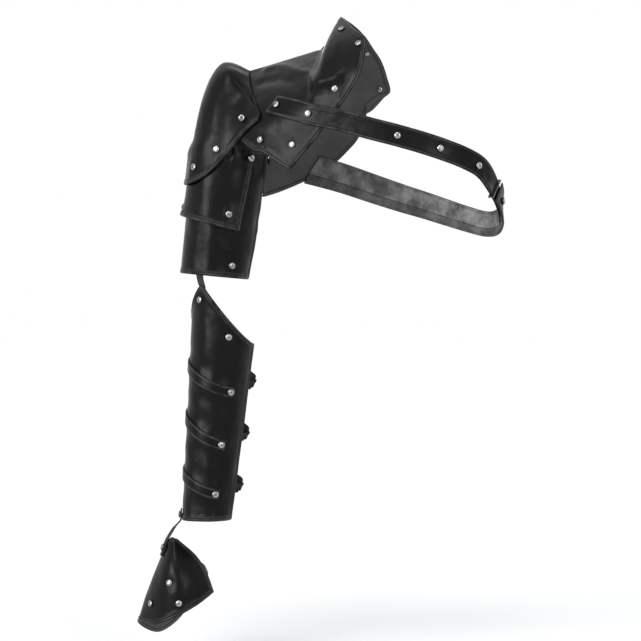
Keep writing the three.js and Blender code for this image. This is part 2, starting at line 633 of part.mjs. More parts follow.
closureShares.forEach((row, k) => {
  const name = k + 1;
  const lift = narrowStrapWall + narrowGap;
  const stops = 18;
  const start = row[2] + strapTailTurn;
  const spots = Array.from({ length: stops + 1 }, (_, i) =>
    closurePlace(row, lerp(start, leaveTurn, i / stops), lift));
  const leave = frameAt(spots[stops], closurePlace(row, leaveTurn - 1, lift));
  const radius = forearmRadius - forearmTaperShare * (forearmTopZ - leave.point.z);
  const bridgeLength = bridgeShare * radius;
  for (let i = 1; i <= 3; i++) spots.push(bowed(leave, (bridgeLength * i) / 3, bridgeBow));
  addSheet(`bracer_strap_${name}`, sheet(strapAt(pathThrough(spots), () => narrowStrapWidth), 34, 1,
    narrowStrapWall), leather);

  const middle = bowed(leave, bridgeLength - tailRoom, bridgeBow);
  const sagitta = barHalfSpan ** 2 / (2 * bridgeBow);
  middle.point.addScaledVector(middle.normal, -narrowStrapWall / 2 - sagitta);
  const tilt = new THREE.Matrix4().makeRotationY(-degToRad(buckleTilt));
  const frame = inFrame(middle).multiply(tilt);
  const ring = ringSolid(2 * barHalfSpan + barWidth, buckleHoleWidth + 2 * barWidth,
    2 * barHalfSpan - barWidth, buckleHoleWidth, barDepth);
  add(`bracer_buckle_${name}`, placed(ring, frame), darkMetal);

  // Hook-shaped pieces round the far bar, given by an angle from the strap's direction outwards
  const bar = new THREE.Vector3(barHalfSpan, 0, 0).applyMatrix4(frame);
  const round = (angle, radius) => {
    const normal = middle.along.clone().multiplyScalar(Math.cos(degToRad(angle)));
    normal.addScaledVector(middle.normal, Math.sin(degToRad(angle)));
    return { point: bar.clone().addScaledVector(normal, radius), normal };
  };
  const inside = [158, 164, 170].map((psi) =>
    closurePlace(row, psi - 360, -leatherWall - 2.9 * narrowGap));
  const leg = {
    point: closurePlace(row, 183 - 360, -2 * narrowGap).point,
    normal: middle.along.clone().add(middle.normal).normalize(),
  };
  const hook = [-8, 25, 60, 95, 130, 165].map((angle) => round(angle, hookRadius));
  const tabPath = pathThrough([...inside, leg, ...hook]);
  const slot = new THREE.BoxGeometry(4 * hookRadius, tabSlot, 4 * hookRadius);
  slot.translate(0, 0, 1.4 * hookRadius);
  slot.applyMatrix4(inFrame({ ...middle, point: bar }));
  addSheet(`bracer_buckle_tab_${name}`, toGeometry(toSolid(sheet(strapAt(tabPath, () => tabWidth), 20, 1,
    tabWall)).subtract(toSolid(slot))), leather);

  const prongPath = pathThrough([60, 90, 120, 150, 180].map((angle) => round(angle, hookRadius)));
  const rod = new THREE.CylinderGeometry(prongRadius, prongRadius, prongLength, 6);
  rod.rotateZ(Math.PI / 2).translate(-prongLength / 2 - hookRadius + tabWall * 0.8, 0, 0);
  rod.rotateY(-degToRad(prongTilt)).applyMatrix4(inFrame({ ...middle, point: bar }));
  const prong = toSolid(sheet(strapAt(prongPath, () => prongWidth), 8, 1, tabWall)).add(toSolid(rod));
  add(`bracer_prong_${name}`, toGeometry(prong), darkMetal);
});

// Elastic link bands: elbow band inside both pieces, wrist band outside both
const bandWidth = 9;
const wristBandWidth = 8;
const bandTuck = leatherWall + 2.4 * narrowGap;
const bandLift = elasticWall + narrowGap;
const elbowBandReach = 11; // elbow band's end over the lower lame's hem
const elbowBandMiddle = {
  point: armSpot(74, elbowZ, -bandTuck).point.lerp(
    forearmSpot(58, bracerPeakZ, -bandTuck - 2.5 * narrowGap).point, 0.5,
  ),
  normal: armSpot(68, elbowZ).normal,
};
const elbowBandPath = pathThrough([
  armSpot(80, elbowZ + elbowBandReach, -bandTuck),
  armSpot(79, elbowZ + 0.18 * elbowBandReach, -bandTuck),
  elbowBandMiddle,
  forearmSpot(56, bracerPeakZ - 0.36 * elbowBandReach, -bandTuck - 2 * narrowGap),
  forearmSpot(55, bracerPeakZ - 1.2 * elbowBandReach, -bandTuck),
  forearmSpot(55, bracerPeakZ - 2 * elbowBandReach, -bandTuck),
]);

const wristTurn = 18.5;
const wristBandReach = 13; // wrist band's end over the bracer's hem
const wristBandBow = 8;
const handBandShares = [[0.547, 0], [0.547, 0.1], [0.547, 0.17]];
const onHand = (share, lift) => {
  const { point, normal } = spotOn(handAt, ...share);
  return { point: point.addScaledVector(normal, lift), normal };
};
const wristBandMiddle = {
  point: forearmSpot(wristTurn, wristZ - 0.85 * wristBandReach, bandLift + wristBandBow).point,
  normal: forearmSpot(wristTurn, wristZ).normal,
};
const wristBandPath = pathThrough([
  forearmSpot(wristTurn, wristZ + wristBandReach, bandLift),
  forearmSpot(wristTurn, wristZ + 0.46 * wristBandReach, bandLift),
  forearmSpot(wristTurn, wristZ - 0.08 * wristBandReach, bandLift + narrowGap),
  wristBandMiddle,
  onHand(handBandShares[0], bandLift + 1.5 * narrowGap),
  onHand(handBandShares[1], bandLift),
  onHand(handBandShares[2], bandLift),
]);
const elasticTurns = [172, 226];
const elasticZ = -150;
const elasticWidth = 26;
const armElasticAt = (s, t) =>
  armSpot(lerp(...elasticTurns, s), elasticZ + elasticWidth * (0.5 - t), -bandTuck).point;
const palmColumnShares = [0.85, 0.969, 0.03, 0.12]; // where the palm band lies inside the guard's edges
const palmPlaceShare = 0.42;
const palmWidthShare = 0.15;
const palmDip = 22;
const palmMiddleShare = 0.6;
const palmOut = onHand([palmMiddleShare, palmPlaceShare], 0).normal.negate();

function palmAt(s, t) {
  const down = palmPlaceShare + palmWidthShare * (t - 0.5);
  const ends = palmColumnShares.map((column) => onHand([column, down], -bandTuck).point);
  const bow = [0.2, 0.5, 0.8].map((share) => {
    const dip = palmDip * Math.sin(Math.PI * share) ** 0.7;
    return ends[1].clone().lerp(ends[2], share).addScaledVector(palmOut, dip);
  });
  const places = [ends[0], ends[1], ...bow, ends[2], ends[3]];
  return vector(through(places.map((point) => point.toArray()))(s));
}

const trimFront = (point) => point.setY(Math.min(point.y, -seamGap / 2));
const trimBack = (point) => point.setY(Math.max(point.y, seamGap / 2));
addSheet("yoke_front_panel", sheet(yokeFrontAt, 12, 11, leatherWall, 1, trimFront), leather);
addSheet("yoke_back_panel", sheet(yokeBackAt, 12, 11, leatherWall, -1, trimBack), leather);
addSheet("chest_strap_front", sheet(frontStrapAt, 34, 1, strapWall), leather);
addSheet("chest_strap_back", sheet(backStrapAt, 28, 1, strapWall), leather);
addSheet("upper_arm_lame", sheet(upperLameAt, upperLameTurns.length - 1, 4, leatherWall), leather);
addSheet("lower_arm_lame", sheet(lowerLameAt, 22, 4, leatherWall), leather);
addSheet("bracer_shell", sheet(bracerAt, 22, 5, leatherWall), leather);
addSheet("hand_guard", sheet(handAt, 16, 7, leatherWall), leather);
addSheet("arm_elastic_band", sheet(armElasticAt, 10, 1, elasticWall), elastic);
addSheet("elbow_link_band", sheet(strapAt(elbowBandPath, () => bandWidth), 14, 1, elasticWall), elastic);
addSheet("wrist_link_band", sheet(strapAt(wristBandPath, () => wristBandWidth), 18, 1, elasticWall), elastic);
addSheet("palm_band", sheet(palmAt, 22, 1, elasticWall), elastic);

// Flat loop that holds the front length of the chest strap beside the end of the back length
const loopTurn = 10;
const loopWall = 1.6;
const loopRoom = [1.8, 1.4];
const strapMiddle = strapLift - strapWall / 2;
const loopSpot = frameAt(roundBody(loopTurn, strapMiddle), roundBody(loopTurn - 1, strapMiddle));
const loop = ringSolid(
  strapWall + loopRoom[0] + 2 * loopWall,
  frontStrapWidth + loopRoom[1] + 2 * loopWall,
  strapWall + loopRoom[0],
  frontStrapWidth + loopRoom[1],
  loopWall,
);
const loopPlace = inFrame(loopSpot).multiply(new THREE.Matrix4().makeRotationY(Math.PI / 2));
add("strap_slide_loop", placed(loop, loopPlace), darkMetal);

yokeRivetShares.forEach((share, k) =>
  rivet(`yoke_rivet_${k + 1}`, onBody(...share, front), ["yoke_front_panel"]));
backRivetShares.forEach((share, k) =>
  rivet(`back_rivet_${k + 1}`, onBody(...share, back), ["yoke_back_panel"]));
strapRivetShares.forEach((share, k) =>
  rivet(`strap_rivet_${k + 1}`, onBody(...share, front), ["yoke_front_panel", "chest_strap_front"]));
studTurns.forEach((turn, k) =>
  rivet(`strap_stud_${k + 1}`, roundBody(turn, strapLift), ["chest_strap_front"]));
rivet("strap_end_stud", roundBody(endStudTurn, 0), ["chest_strap_front", "chest_strap_back"]);

const capRivetShares = [[0.717, 0.85], [0.595, 0.894]];
capRivetShares.forEach((share, k) =>
  rivet(`cap_rivet_${k + 1}`, spotOn(capAt, ...share), ["shoulder_cap"], true));
[-1, 1].forEach((side, k) => {
  const normal = new THREE.Vector3(earSlopeShare, side, 0).normalize();
  const point = new THREE.Vector3(pivotX, armMiddleY + side * earReach[k], pivotZ);
  rivet(`cap_pivot_${["front", "back"][k]}`, { point, normal }, ["shoulder_cap", "upper_arm_lame"]);
});
const lamePivotTurn = 137.5;
const lamePivotZ = -92;
[1, -1].forEach((side, k) =>
  rivet(`lame_pivot_${["front", "back"][k]}`, armSpot(side * lamePivotTurn, lamePivotZ),
    ["upper_arm_lame", "lower_arm_lame"]));

// Rivets on the lames and the bracer: each row is a turn and a share of the way down the piece
const upperRivetShares = [[116.4, 0.846], [2.5, 0.699]];
const lowerRivetShares = [[134.6, 0.926], [-5.4, 0.874]];
const bracerRivetShares = [[57, 0.0564], [118, 0.2152]];
upperRivetShares.forEach(([turn, share], k) =>
  rivet(`upper_lame_rivet_${k + 1}`, armSpot(turn, lerp(lameTopZ, upperLameHemZ, share)),
    ["upper_arm_lame"], true));
lowerRivetShares.forEach(([turn, share], k) =>
  rivet(`lower_lame_rivet_${k + 1}`, armSpot(turn, lerp(lowerLameTopZ, elbowZ, share)), ["lower_arm_lame"]));
const [topSpot, edgeSpot] = bracerRivetShares.map(([turn, share]) =>
  forearmSpot(turn, lerp(bracerPeakZ, wristZ, share)));
rivet("bracer_top_rivet", topSpot, ["bracer_shell", "elbow_link_band"]);
rivet("bracer_edge_rivet", edgeSpot, ["bracer_shell"]);
closureShares.forEach((row, k) =>
  rivet(`bracer_strap_rivet_${k + 1}`, closurePlace(row, row[2], 0),
    ["bracer_shell", `bracer_strap_${k + 1}`]));
const wristSpot = forearmSpot(wristTurn, wristZ + 0.46 * wristBandReach);
rivet("bracer_wrist_rivet", wristSpot, ["bracer_shell", "wrist_link_band"]);
rivet("hand_top_rivet", spotOn(handAt, 0.547, 0.09), ["hand_guard", "wrist_link_band"]);
const handRivetShares = [[0.704, 0.543], [0.581, 0.733], [0.761, 0.828]];
handRivetShares.forEach((share, k) => rivet(`hand_rivet_${k + 1}`, spotOn(handAt, ...share), ["hand_guard"]));

cutAndAddSheets();

export default root;
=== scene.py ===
# Riveted leather armour for the right arm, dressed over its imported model.
# Metres; +Z is up, the chest lies towards -Y and the armoured arm hangs on the -X side.
import math

import bpy
import numpy as np
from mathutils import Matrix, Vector
from mathutils.bvhtree import BVHTree


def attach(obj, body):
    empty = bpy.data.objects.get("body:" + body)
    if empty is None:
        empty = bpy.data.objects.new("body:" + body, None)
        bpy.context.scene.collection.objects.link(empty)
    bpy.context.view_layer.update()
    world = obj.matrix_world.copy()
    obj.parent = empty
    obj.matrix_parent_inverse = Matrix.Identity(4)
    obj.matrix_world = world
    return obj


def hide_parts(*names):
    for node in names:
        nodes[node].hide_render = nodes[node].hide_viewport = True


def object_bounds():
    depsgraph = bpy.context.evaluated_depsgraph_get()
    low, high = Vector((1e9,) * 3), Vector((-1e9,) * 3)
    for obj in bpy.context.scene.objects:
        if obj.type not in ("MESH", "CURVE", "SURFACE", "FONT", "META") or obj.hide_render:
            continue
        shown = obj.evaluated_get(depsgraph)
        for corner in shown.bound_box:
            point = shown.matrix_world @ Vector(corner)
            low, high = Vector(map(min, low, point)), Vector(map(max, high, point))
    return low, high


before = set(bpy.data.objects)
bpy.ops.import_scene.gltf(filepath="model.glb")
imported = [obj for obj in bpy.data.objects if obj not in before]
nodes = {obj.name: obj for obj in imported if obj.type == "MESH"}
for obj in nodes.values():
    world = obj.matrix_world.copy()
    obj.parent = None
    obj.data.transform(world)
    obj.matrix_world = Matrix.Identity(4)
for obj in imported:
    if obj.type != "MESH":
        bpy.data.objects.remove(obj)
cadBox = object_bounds()
mm = 0.001
print("frame loaded")

# Sizes that the leather shares
hide = {
    "wall": 1.8 * mm,
    "strapWall": 2 * mm,
    "elasticWall": 1.6 * mm,
    "layerGap": 0.8 * mm,
    "seamGap": 0.4 * mm,
    "swell": 0.38 * mm,
    "broadWave": 62 * mm,
    "smallWave": 24 * mm,
    "studCalm": 9 * mm,
    "studSink": 0.3 * mm,
    "studSinkWidth": 6 * mm,
    "seamSink": 0.35 * mm,
    "seamWidth": 1.6 * mm,
    "rimTurns": (36, 72, 108, 144),
    "rimBulge": 0.8,
    "cutWearAndSheen": 2.4 * mm,
}


# Shape helpers: whole arrays of N places at a time


def unit(v):
    # each row divided by its length
    return v / np.maximum(np.linalg.norm(v, axis=-1, keepdims=True), 1e-12)


def smooth(v):
    # 3v² - 2v³ between 0 and 1
    v = np.clip(v, 0, 1)
    return v * v * (3 - 2 * v)


def through(places, u):
    # Catmull-Rom cubic through a list of places, u from 0 to 1; the places are one list for
    # all samples, or one list for each sample along the second axis
    places = np.asarray(places, float)
    u = np.asarray(u, float)
    last = len(places) - 1
    along = np.clip(u, 0, 1) * last
    i = np.minimum(along.astype(int), last - 1)
    f = (along - i)[:, None]
    rows = [np.clip(i + k, 0, last) for k in (-1, 0, 1, 2)]
    pick = np.arange(len(u))
    a, b, c, d = [places[r, pick] if places.ndim == 3 else places[r] for r in rows]
    square = 2 * a - 5 * b + 4 * c - d
    cube = 3 * (b - c) + d - a
    return b + 0.5 * f * (c - a + f * (square + f * cube))


def steps(values, u):
    # straight steps through a list of numbers
    return np.interp(np.clip(u, 0, 1) * (len(values) - 1), np.arange(len(values)), values)


def coons(edges, s, t):
    # patch between four edge curves: both ruled surfaces less the flat one through the corners
    top, bottom, left, right = edges
    n, b, w, e = through(top, s), through(bottom, s), through(left, t), through(right, t)
    s, t = s[:, None], t[:, None]
    top, bottom = np.asarray(top, float), np.asarray(bottom, float)
    flat = (1 - t) * ((1 - s) * top[0] + s * top[-1]) + t * ((1 - s) * bottom[0] + s * bottom[-1])
    return (1 - t) * n + t * b + (1 - s) * w + s * e - flat


def normalsOf(at, s, t, facing=1):
    # outward normals: cross product of the steps down and along the surface
    step = 1e-3
    along = at(np.minimum(s + step, 1), t) - at(np.maximum(s - step, 0), t)
    down = at(s, np.minimum(t + step, 1)) - at(s, np.maximum(t - step, 0))
    return unit(np.cross(down, along)) * facing


def ripple(points, length, seed, waves=14):
    # smooth unevenness between about -1 and 1: a sum of sine waves in random directions
    rng = np.random.default_rng(seed)
    ways = unit(rng.normal(size=(waves, 3))) * (2 * np.pi / length) * rng.uniform(0.55, 1.6, (waves, 1))
    return np.sin(points @ ways.T + rng.uniform(0, 2 * np.pi, waves)).sum(1) / np.sqrt(waves * 1.1)


# The body form and the yoke's outlines, in shares of reach and drop
body = {
    "reach": 138 * mm,
    "drop": 95 * mm,
    "rise": 20 * mm,
    "slope": 0.264,
    "collarRise": 31 * mm,
    "collarStart": 74 * mm,
    "collarSpan": 25 * mm,
    "strapReach": 148 * mm,
}
front = {"side": -1, "depth": 90 * mm, "flank": 180 * mm, "roundness": 2.6}
back = {"side": 1, "depth": 85 * mm, "flank": 158 * mm, "roundness": 2.2}


def seamHeight(x):
    # straight slope plus one smooth step into the collar
    step = smooth((x - body["collarStart"]) / body["collarSpan"])
    return body["rise"] + body["slope"] * x + body["collarRise"] * step


def bodyPoint(x, z, form):
    # superellipse across, and a quarter parabola from the shoulder seam down to the chest
    out = np.clip(np.abs(x - body["reach"]) / form["flank"], 0, 1)
    full = form["depth"] * (1 - out ** form["roundness"]) ** (1 / form["roundness"])
    fall = np.clip((seamHeight(x) - z) / body["drop"], 0, 1)
    return np.stack([x, form["side"] * full * (1 - (1 - fall) ** 2), z], -1)


def onBody(shares, form, lift=0.0):
    # places on the body form from their shares, lifted along the normal
    x, z = shares[:, 0] * body["reach"], shares[:, 1] * body["drop"]
    step = body["drop"] * 1e-3
    along = bodyPoint(x + step, z, form) - bodyPoint(x - step, z, form)
    down = bodyPoint(x, z - step, form) - bodyPoint(x, z + step, form)
    normal = unit(np.cross(down, along)) * -form["side"]
    return bodyPoint(x, z, form) + normal * lift, normal


seamShares = np.linspace(-0.136, 0.712, 25)
seamLine = np.stack([seamShares, seamHeight(seamShares * body["reach"]) / body["drop"]], -1).tolist()
frontBottom = [[-0.044, -0.764], [0.08, -0.898], [0.169, -0.928], [0.301, -1.046], [0.429, -1.161]]
frontArmhole = [seamLine[0], [-0.05, -0.1], [0.012, -0.33], [0.02, -0.5], [-0.01, -0.64], frontBottom[0]]
frontEdge = [seamLine[-1], [0.798, 0.717], [0.943, 0.541], [1.05, 0.43], [1.066, 0.2], [1.04, -0.02],
             [0.946, -0.256], [0.846, -0.446], [0.739, -0.641], [0.634, -0.83], [0.528, -0.995],
             frontBottom[-1]]
backBottom = [[-0.07, -1.4], [0.069, -1.313], [0.29, -1.155], [0.421, -1.042], [0.551, -0.9]]
backArmhole = [seamLine[0], [-0.03, -0.1], [0.02, -0.35], [0.02, -0.7], [-0.055, -1.02], backBottom[0]]
backEdge = [seamLine[-1], [0.79, 0.72], [0.854, 0.606], [0.894, 0.48], [0.944, 0.331], [0.975, 0.14],
            [0.995, -0.06], [0.89, -0.125], [0.8, -0.24], [0.765, -0.46], [0.7, -0.66], [0.63, -0.78],
            backBottom[-1]]


def yokeFrontAt(s, t):
    # front panel: its outline filled on the body form, half a seam gap off the middle plane
    shares = coons((seamLine, frontBottom, frontArmhole, frontEdge), s, t)
    return onBody(shares, front)[0] + [0, -hide["seamGap"] / 2, 0]


def yokeBackAt(s, t):
    # the same for the back panel, on the other side of the middle plane
    shares = coons((seamLine, backBottom, backArmhole, backEdge), s, t)
    return onBody(shares, back)[0] + [0, hide["seamGap"] / 2, 0]


# Chest strap: over the front panel, round the body under the other arm, to the back panel's inside
strap = {
    "lift": hide["layerGap"] + hide["strapWall"],
    "tuck": hide["wall"] + hide["layerGap"],
    "frontWidth": 24 * mm,
    "backWidth": 36 * mm,
    "backEndWidth": 29 * mm,
    "firstTurn": 96,
    "turnStep": 12,
    "falls": [-0.583, -0.68, -0.767, -0.856, -0.947, -1.038, -1.15, -1.35, -1.54, -1.68, -1.77,
              -1.775, -1.71, -1.62, -1.52, -1.42, -1.31],
    "frontOnYoke": [[0.24, -0.342], [0.298, -0.368], [0.447, -0.425], [0.597, -0.487], [0.74, -0.535]],
    "backOnYoke": [[0.275, -1.03], [0.43, -1.09], [0.6, -1.165]],
    "overlapTurns": (-12, 7.5),
    "studTurns": (71.1, 50.9, 27.4),
    "endStudTurn": 1,
    "swell": 0.25 * mm,
    "fold": 0.2,
    "stitchRows": (2.1 * mm,),
}
strap["overlapLift"] = 2 * strap["lift"] + hide["layerGap"]


def roundBody(turns, lift):
    # ellipse round the chest with its own height for each turn, lifted outwards
    turns = np.asarray(turns, float)
    angle = np.radians(turns)
    depth = np.where(turns > 0, front["depth"], back["depth"])
    fall = np.interp((strap["firstTurn"] - turns) / strap["turnStep"], np.arange(len(strap["falls"])),
                     strap["falls"])
    x = body["reach"] + (body["strapReach"] + lift) * np.cos(angle)
    point = np.stack([x, -(depth + lift) * np.sin(angle), fall * body["drop"]], -1)
    normal = np.stack([np.cos(angle) / body["strapReach"], -np.sin(angle) / depth, 0 * angle], -1)
    return point, unit(normal)


def pathOf(*pieces):
    # smooth path through spots, each with a place and a normal
    points = np.concatenate([p for p, _ in pieces])
    normals = np.concatenate([n for _, n in pieces])
    return lambda u: (through(points, u), unit(through(normals, u)))


def bandAt(path, widthAt, slant=0.0):
    # flat band along a path: its middle line plus the sideways direction times the width; slant
    # skews its start, the other way where it is negative
    def at(s, t):
        u = s + (1 - s) * (slant * (1 - t) if slant > 0 else -slant * t)
        point, normal = path(u)
        step = 1e-3
        along = path(np.minimum(u + step, 1))[0] - path(np.maximum(u - step, 0))[0]
        across = unit(np.cross(along, normal))
        return point + across * (widthAt(u) * (t - 0.5))[:, None]
    return at


def evenly(width):
    # one width all along a path
    return lambda u: width + 0 * u


strapTurns = [strap["firstTurn"] - k * strap["turnStep"] for k in range(len(strap["falls"]))]
tailTurn, headTurn = strap["overlapTurns"]
frontTurns = [turn for turn in strapTurns if turn > tailTurn] + [tailTurn]
backTurns = np.array([headTurn] + [turn for turn in strapTurns if turn < headTurn])[::-1]
frontPath = pathOf(onBody(np.array(strap["frontOnYoke"]), front, strap["lift"]),
                   roundBody(frontTurns, strap["lift"]))
backPath = pathOf(onBody(np.array(strap["backOnYoke"]), back, -strap["tuck"]),
                  roundBody(backTurns, strap["overlapLift"] * smooth((backTurns + 72) / 48)))
frontStrapAt = bandAt(frontPath, evenly(strap["frontWidth"]), 0.03)
backStrapAt = bandAt(
    backPath,
    lambda u: strap["backWidth"] + (strap["backEndWidth"] - strap["backWidth"]) * smooth(u * 1.5),
    -0.045,
)

# Arm: two lames round the upper arm; theta turns from the outer side (0) over the front (90)
arm = {
    "topX": -36 * mm,
    "middleY": -14 * mm,
    "armpitZ": -90 * mm,
    "lean": 0.135,
    "radius": 44.6 * mm,
    "taper": 3.3 * mm,
    "elbowZ": -230 * mm,
    "lameLift": hide["wall"] + 1.5 * hide["layerGap"],
    "lameTopZ": -98 * mm,
    "lameHemZ": -169.5 * mm,
    "hemDrop": 0.27,
    "hemDraw": 12,
    "drawFrom": 98,
    "drawSpan": 48,
    "footFrom": 50,
    "footSpan": 40,
    "footShare": 0.58,
    "flareFrom": 0.75,
    "flatFrom": 90,
    "flatSpan": 16,
    "flatRise": 1.1,
    "lameFlare": 1.4 * mm,
    "hemFlare": 2.4 * mm,
    "earTurn": 121,
    "earHalf": 8,
    "earFoot": 14,
    "lameEnd": 146,
    "earRise": 36 * mm,
    "earHalfWidth": 9 * mm,
    "earSlope": 0.33,
    "pivotX": -7.5 * mm,
    "pivotZ": -47 * mm,
    "pivotTurn": 137.5,
    "pivotHeight": -92 * mm,
    "lowerTurns": (-150, 188),
    "lowerTopZ": -82 * mm,
    "lowerHemDrop": 0.09,
    "castOver": 4 * mm,
}


def armAxisX(z):
    # upright above the armpit, and leaning outwards with the drop below it
    return arm["topX"] - arm["lean"] * np.maximum(arm["armpitZ"] - z, 0)


def tubeSpot(theta, middle, radius, lean, taper, lift=0.0):
    # a place on a leaning, narrowing tube; its normal leans with the wall
    angle = np.radians(theta)
    out = np.stack([-np.cos(angle), -np.sin(angle), 0 * angle], -1)
    normal = out.copy()
    normal[..., 2] = lean * np.cos(angle) - taper
    normal = unit(normal)
    return middle + out * np.asarray(radius)[..., None] + normal * np.asarray(lift)[..., None], normal


def armSpot(theta, z, lift=0.0):
    # a place on the arm: its radius shrinks with the square of the way from armpit to elbow
    theta, z, lift = np.broadcast_arrays(np.asarray(theta, float), z, lift)
    drop = arm["armpitZ"] - z
    share = np.maximum(drop, 0) / (arm["armpitZ"] - arm["elbowZ"])
    radius = arm["radius"] - arm["taper"] * share ** 2
    middle = np.stack([armAxisX(z), np.full(z.shape, arm["middleY"]), z], -1)
    return tubeSpot(theta, middle, radius, np.where(drop > 0, arm["lean"], 0), 0, lift)


# Shoulder cap: columns from its back corner round the shoulder to its front corner. Each starts on
# the armhole and goes on through places in shares of the arm's radius, with heights in shares of drop
cap = {
    "lift": hide["wall"] + hide["layerGap"],
    "gap": 1.4 * mm,
    "yokeStart": -16 * mm,
    "yokeSpan": 8 * mm,
    "clearOf": 1.3,
    "hemStart": -66 * mm,
    "hemSpan": 22 * mm,
    "columns": [
        [[0.13, -0.453], [[1.144, 1.603, -0.526]]],
        [[0.036, -0.253], [[0.628, 1.324, -0.695]]],
        [[-0.043, -0.053], [[0.539, 1.008, -0.147], [0.381, 1.098, -0.358], [0.247, 1.142, -0.611],
                            [0.134, 1.166, -0.884]]],
        [[-0.094, 0.095], [[0.089, 0.808, 0.147], [-0.268, 0.942, -0.168], [-0.494, 0.987, -0.632],
                           [-0.673, 0.987, -1.095]]],
        [[-0.116, 0.16], [[-0.224, 0.314, 0.274], [-0.695, 0.246, -0.126], [-0.965, 0.201, -0.695],
                          [-1.255, 0.18, -1.221]]],
        [[-0.109, 0.147], [[-0.134, -0.225, 0.221], [-0.56, -0.515, -0.168], [-0.784, -0.717, -0.737],
                           [-0.942, -0.841, -1.284]]],
        [[-0.072, 0.053], [[0.202, -0.606, 0.084], [-0.09, -0.896, -0.253], [-0.224, -1.077, -0.716],
                           [-0.292, -1.143, -1.179]]],
        [[-0.022, -0.095], [[0.584, -0.762, -0.179], [0.426, -0.988, -0.379], [0.313, -1.122, -0.653],
                            [0.224, -1.166, -0.958]]],
        [[0.058, -0.263], [[0.941, -1.077, -0.358], [0.875, -1.166, -0.463], [0.807, -1.233, -0.579],
                           [0.752, -1.256, -0.695]]],
        [[0.145, -0.447], [[1.21, -1.367, -0.526]]],
    ],
    "backColumns": 5,
}
cap["seam"] = np.array([seam for seam, _ in cap["columns"]])
cap["ridge"] = (cap["backColumns"] - 0.5) / (len(cap["columns"]) - 1)


def capCurve(k):
    # places of one column: its start on the armhole, the others round the arm's axis
    seam, rest = cap["columns"][k]
    form = back if k < cap["backColumns"] else front
    start = onBody(np.array([seam]), form, cap["lift"])[0]
    rest = np.array(rest)
    places = np.stack([arm["topX"] + rest[:, 0] * arm["radius"], arm["middleY"] + rest[:, 1] * arm["radius"],
                       rest[:, 2] * body["drop"]], -1)
    return np.concatenate([start, places])


capCurves = [capCurve(k) for k in range(len(cap["columns"]))]


def capAt(s, t):
    # net of smooth columns and rows, moved at the top onto the armhole line of the body form, and
    # kept clear of the yoke under its corners and of the upper lame under its hem
    net = through(np.stack([through(curve, t) for curve in capCurves]), s)
    tops = through(np.array([curve[0] for curve in capCurves]), s)
    shares = through(cap["seam"], s)
    isBack = (s < cap["ridge"])[:, None]
    seam = np.where(isBack, onBody(shares, back, cap["lift"])[0], onBody(shares, front, cap["lift"])[0])
    point = net + (seam - tops) * ((1 - t) ** 3)[:, None]
    x, y, z = point.T
    depth = np.where(y > 0, np.abs(bodyPoint(x, z, back)[:, 1]), np.abs(bodyPoint(x, z, front)[:, 1]))
    nearYoke = smooth((x - cap["yokeStart"]) / cap["yokeSpan"])
    short = np.maximum(depth + cap["clearOf"] * cap["lift"] - np.abs(y), 0)
    y = y + np.where(y > 0, 1, -1) * short * nearYoke
    fromArm = np.stack([x - armAxisX(z), y - arm["middleY"], 0 * z], -1)
    reach = np.linalg.norm(fromArm, axis=1)
    need = arm["radius"] + arm["lameLift"] + hide["wall"] + cap["gap"]
    push = np.maximum(need - reach, 0) * smooth((cap["hemStart"] - z) / cap["hemSpan"])
    return np.stack([x, y, z], -1) + unit(fromArm) * push[:, None]


halfTurns = [0, 18, 36, 54, 70, 84, 98, arm["earTurn"] - arm["earFoot"], arm["earTurn"] - arm["earHalf"],
             arm["earTurn"], arm["earTurn"] + arm["earHalf"], arm["earTurn"] + arm["earFoot"], arm["lameEnd"]]
upperTurns = [-turn for turn in halfTurns[:0:-1]] + halfTurns


def cadPoints(name):
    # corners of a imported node
    mesh = nodes[name].data
    points = np.empty(len(mesh.vertices) * 3, np.float32)
    mesh.vertices.foreach_get("co", points)
    return points.reshape(-1, 3).astype(float)


def earPlane(side):
    # reach of an ear from the arm's middle plane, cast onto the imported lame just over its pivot
    mesh = nodes["upper_arm_lame"].data
    tree = BVHTree.FromPolygons([v.co for v in mesh.vertices], [tuple(p.vertices) for p in mesh.polygons])
    start = Vector((arm["pivotX"], arm["middleY"] + side * 0.2, arm["pivotZ"] + arm["castOver"]))
    hit = tree.ray_cast(start, Vector((0, -side, 0)))[0]
    return side * (hit.y - arm["middleY"]) + arm["earSlope"] * arm["castOver"]


earReach = {"front": earPlane(-1), "back": earPlane(1)}


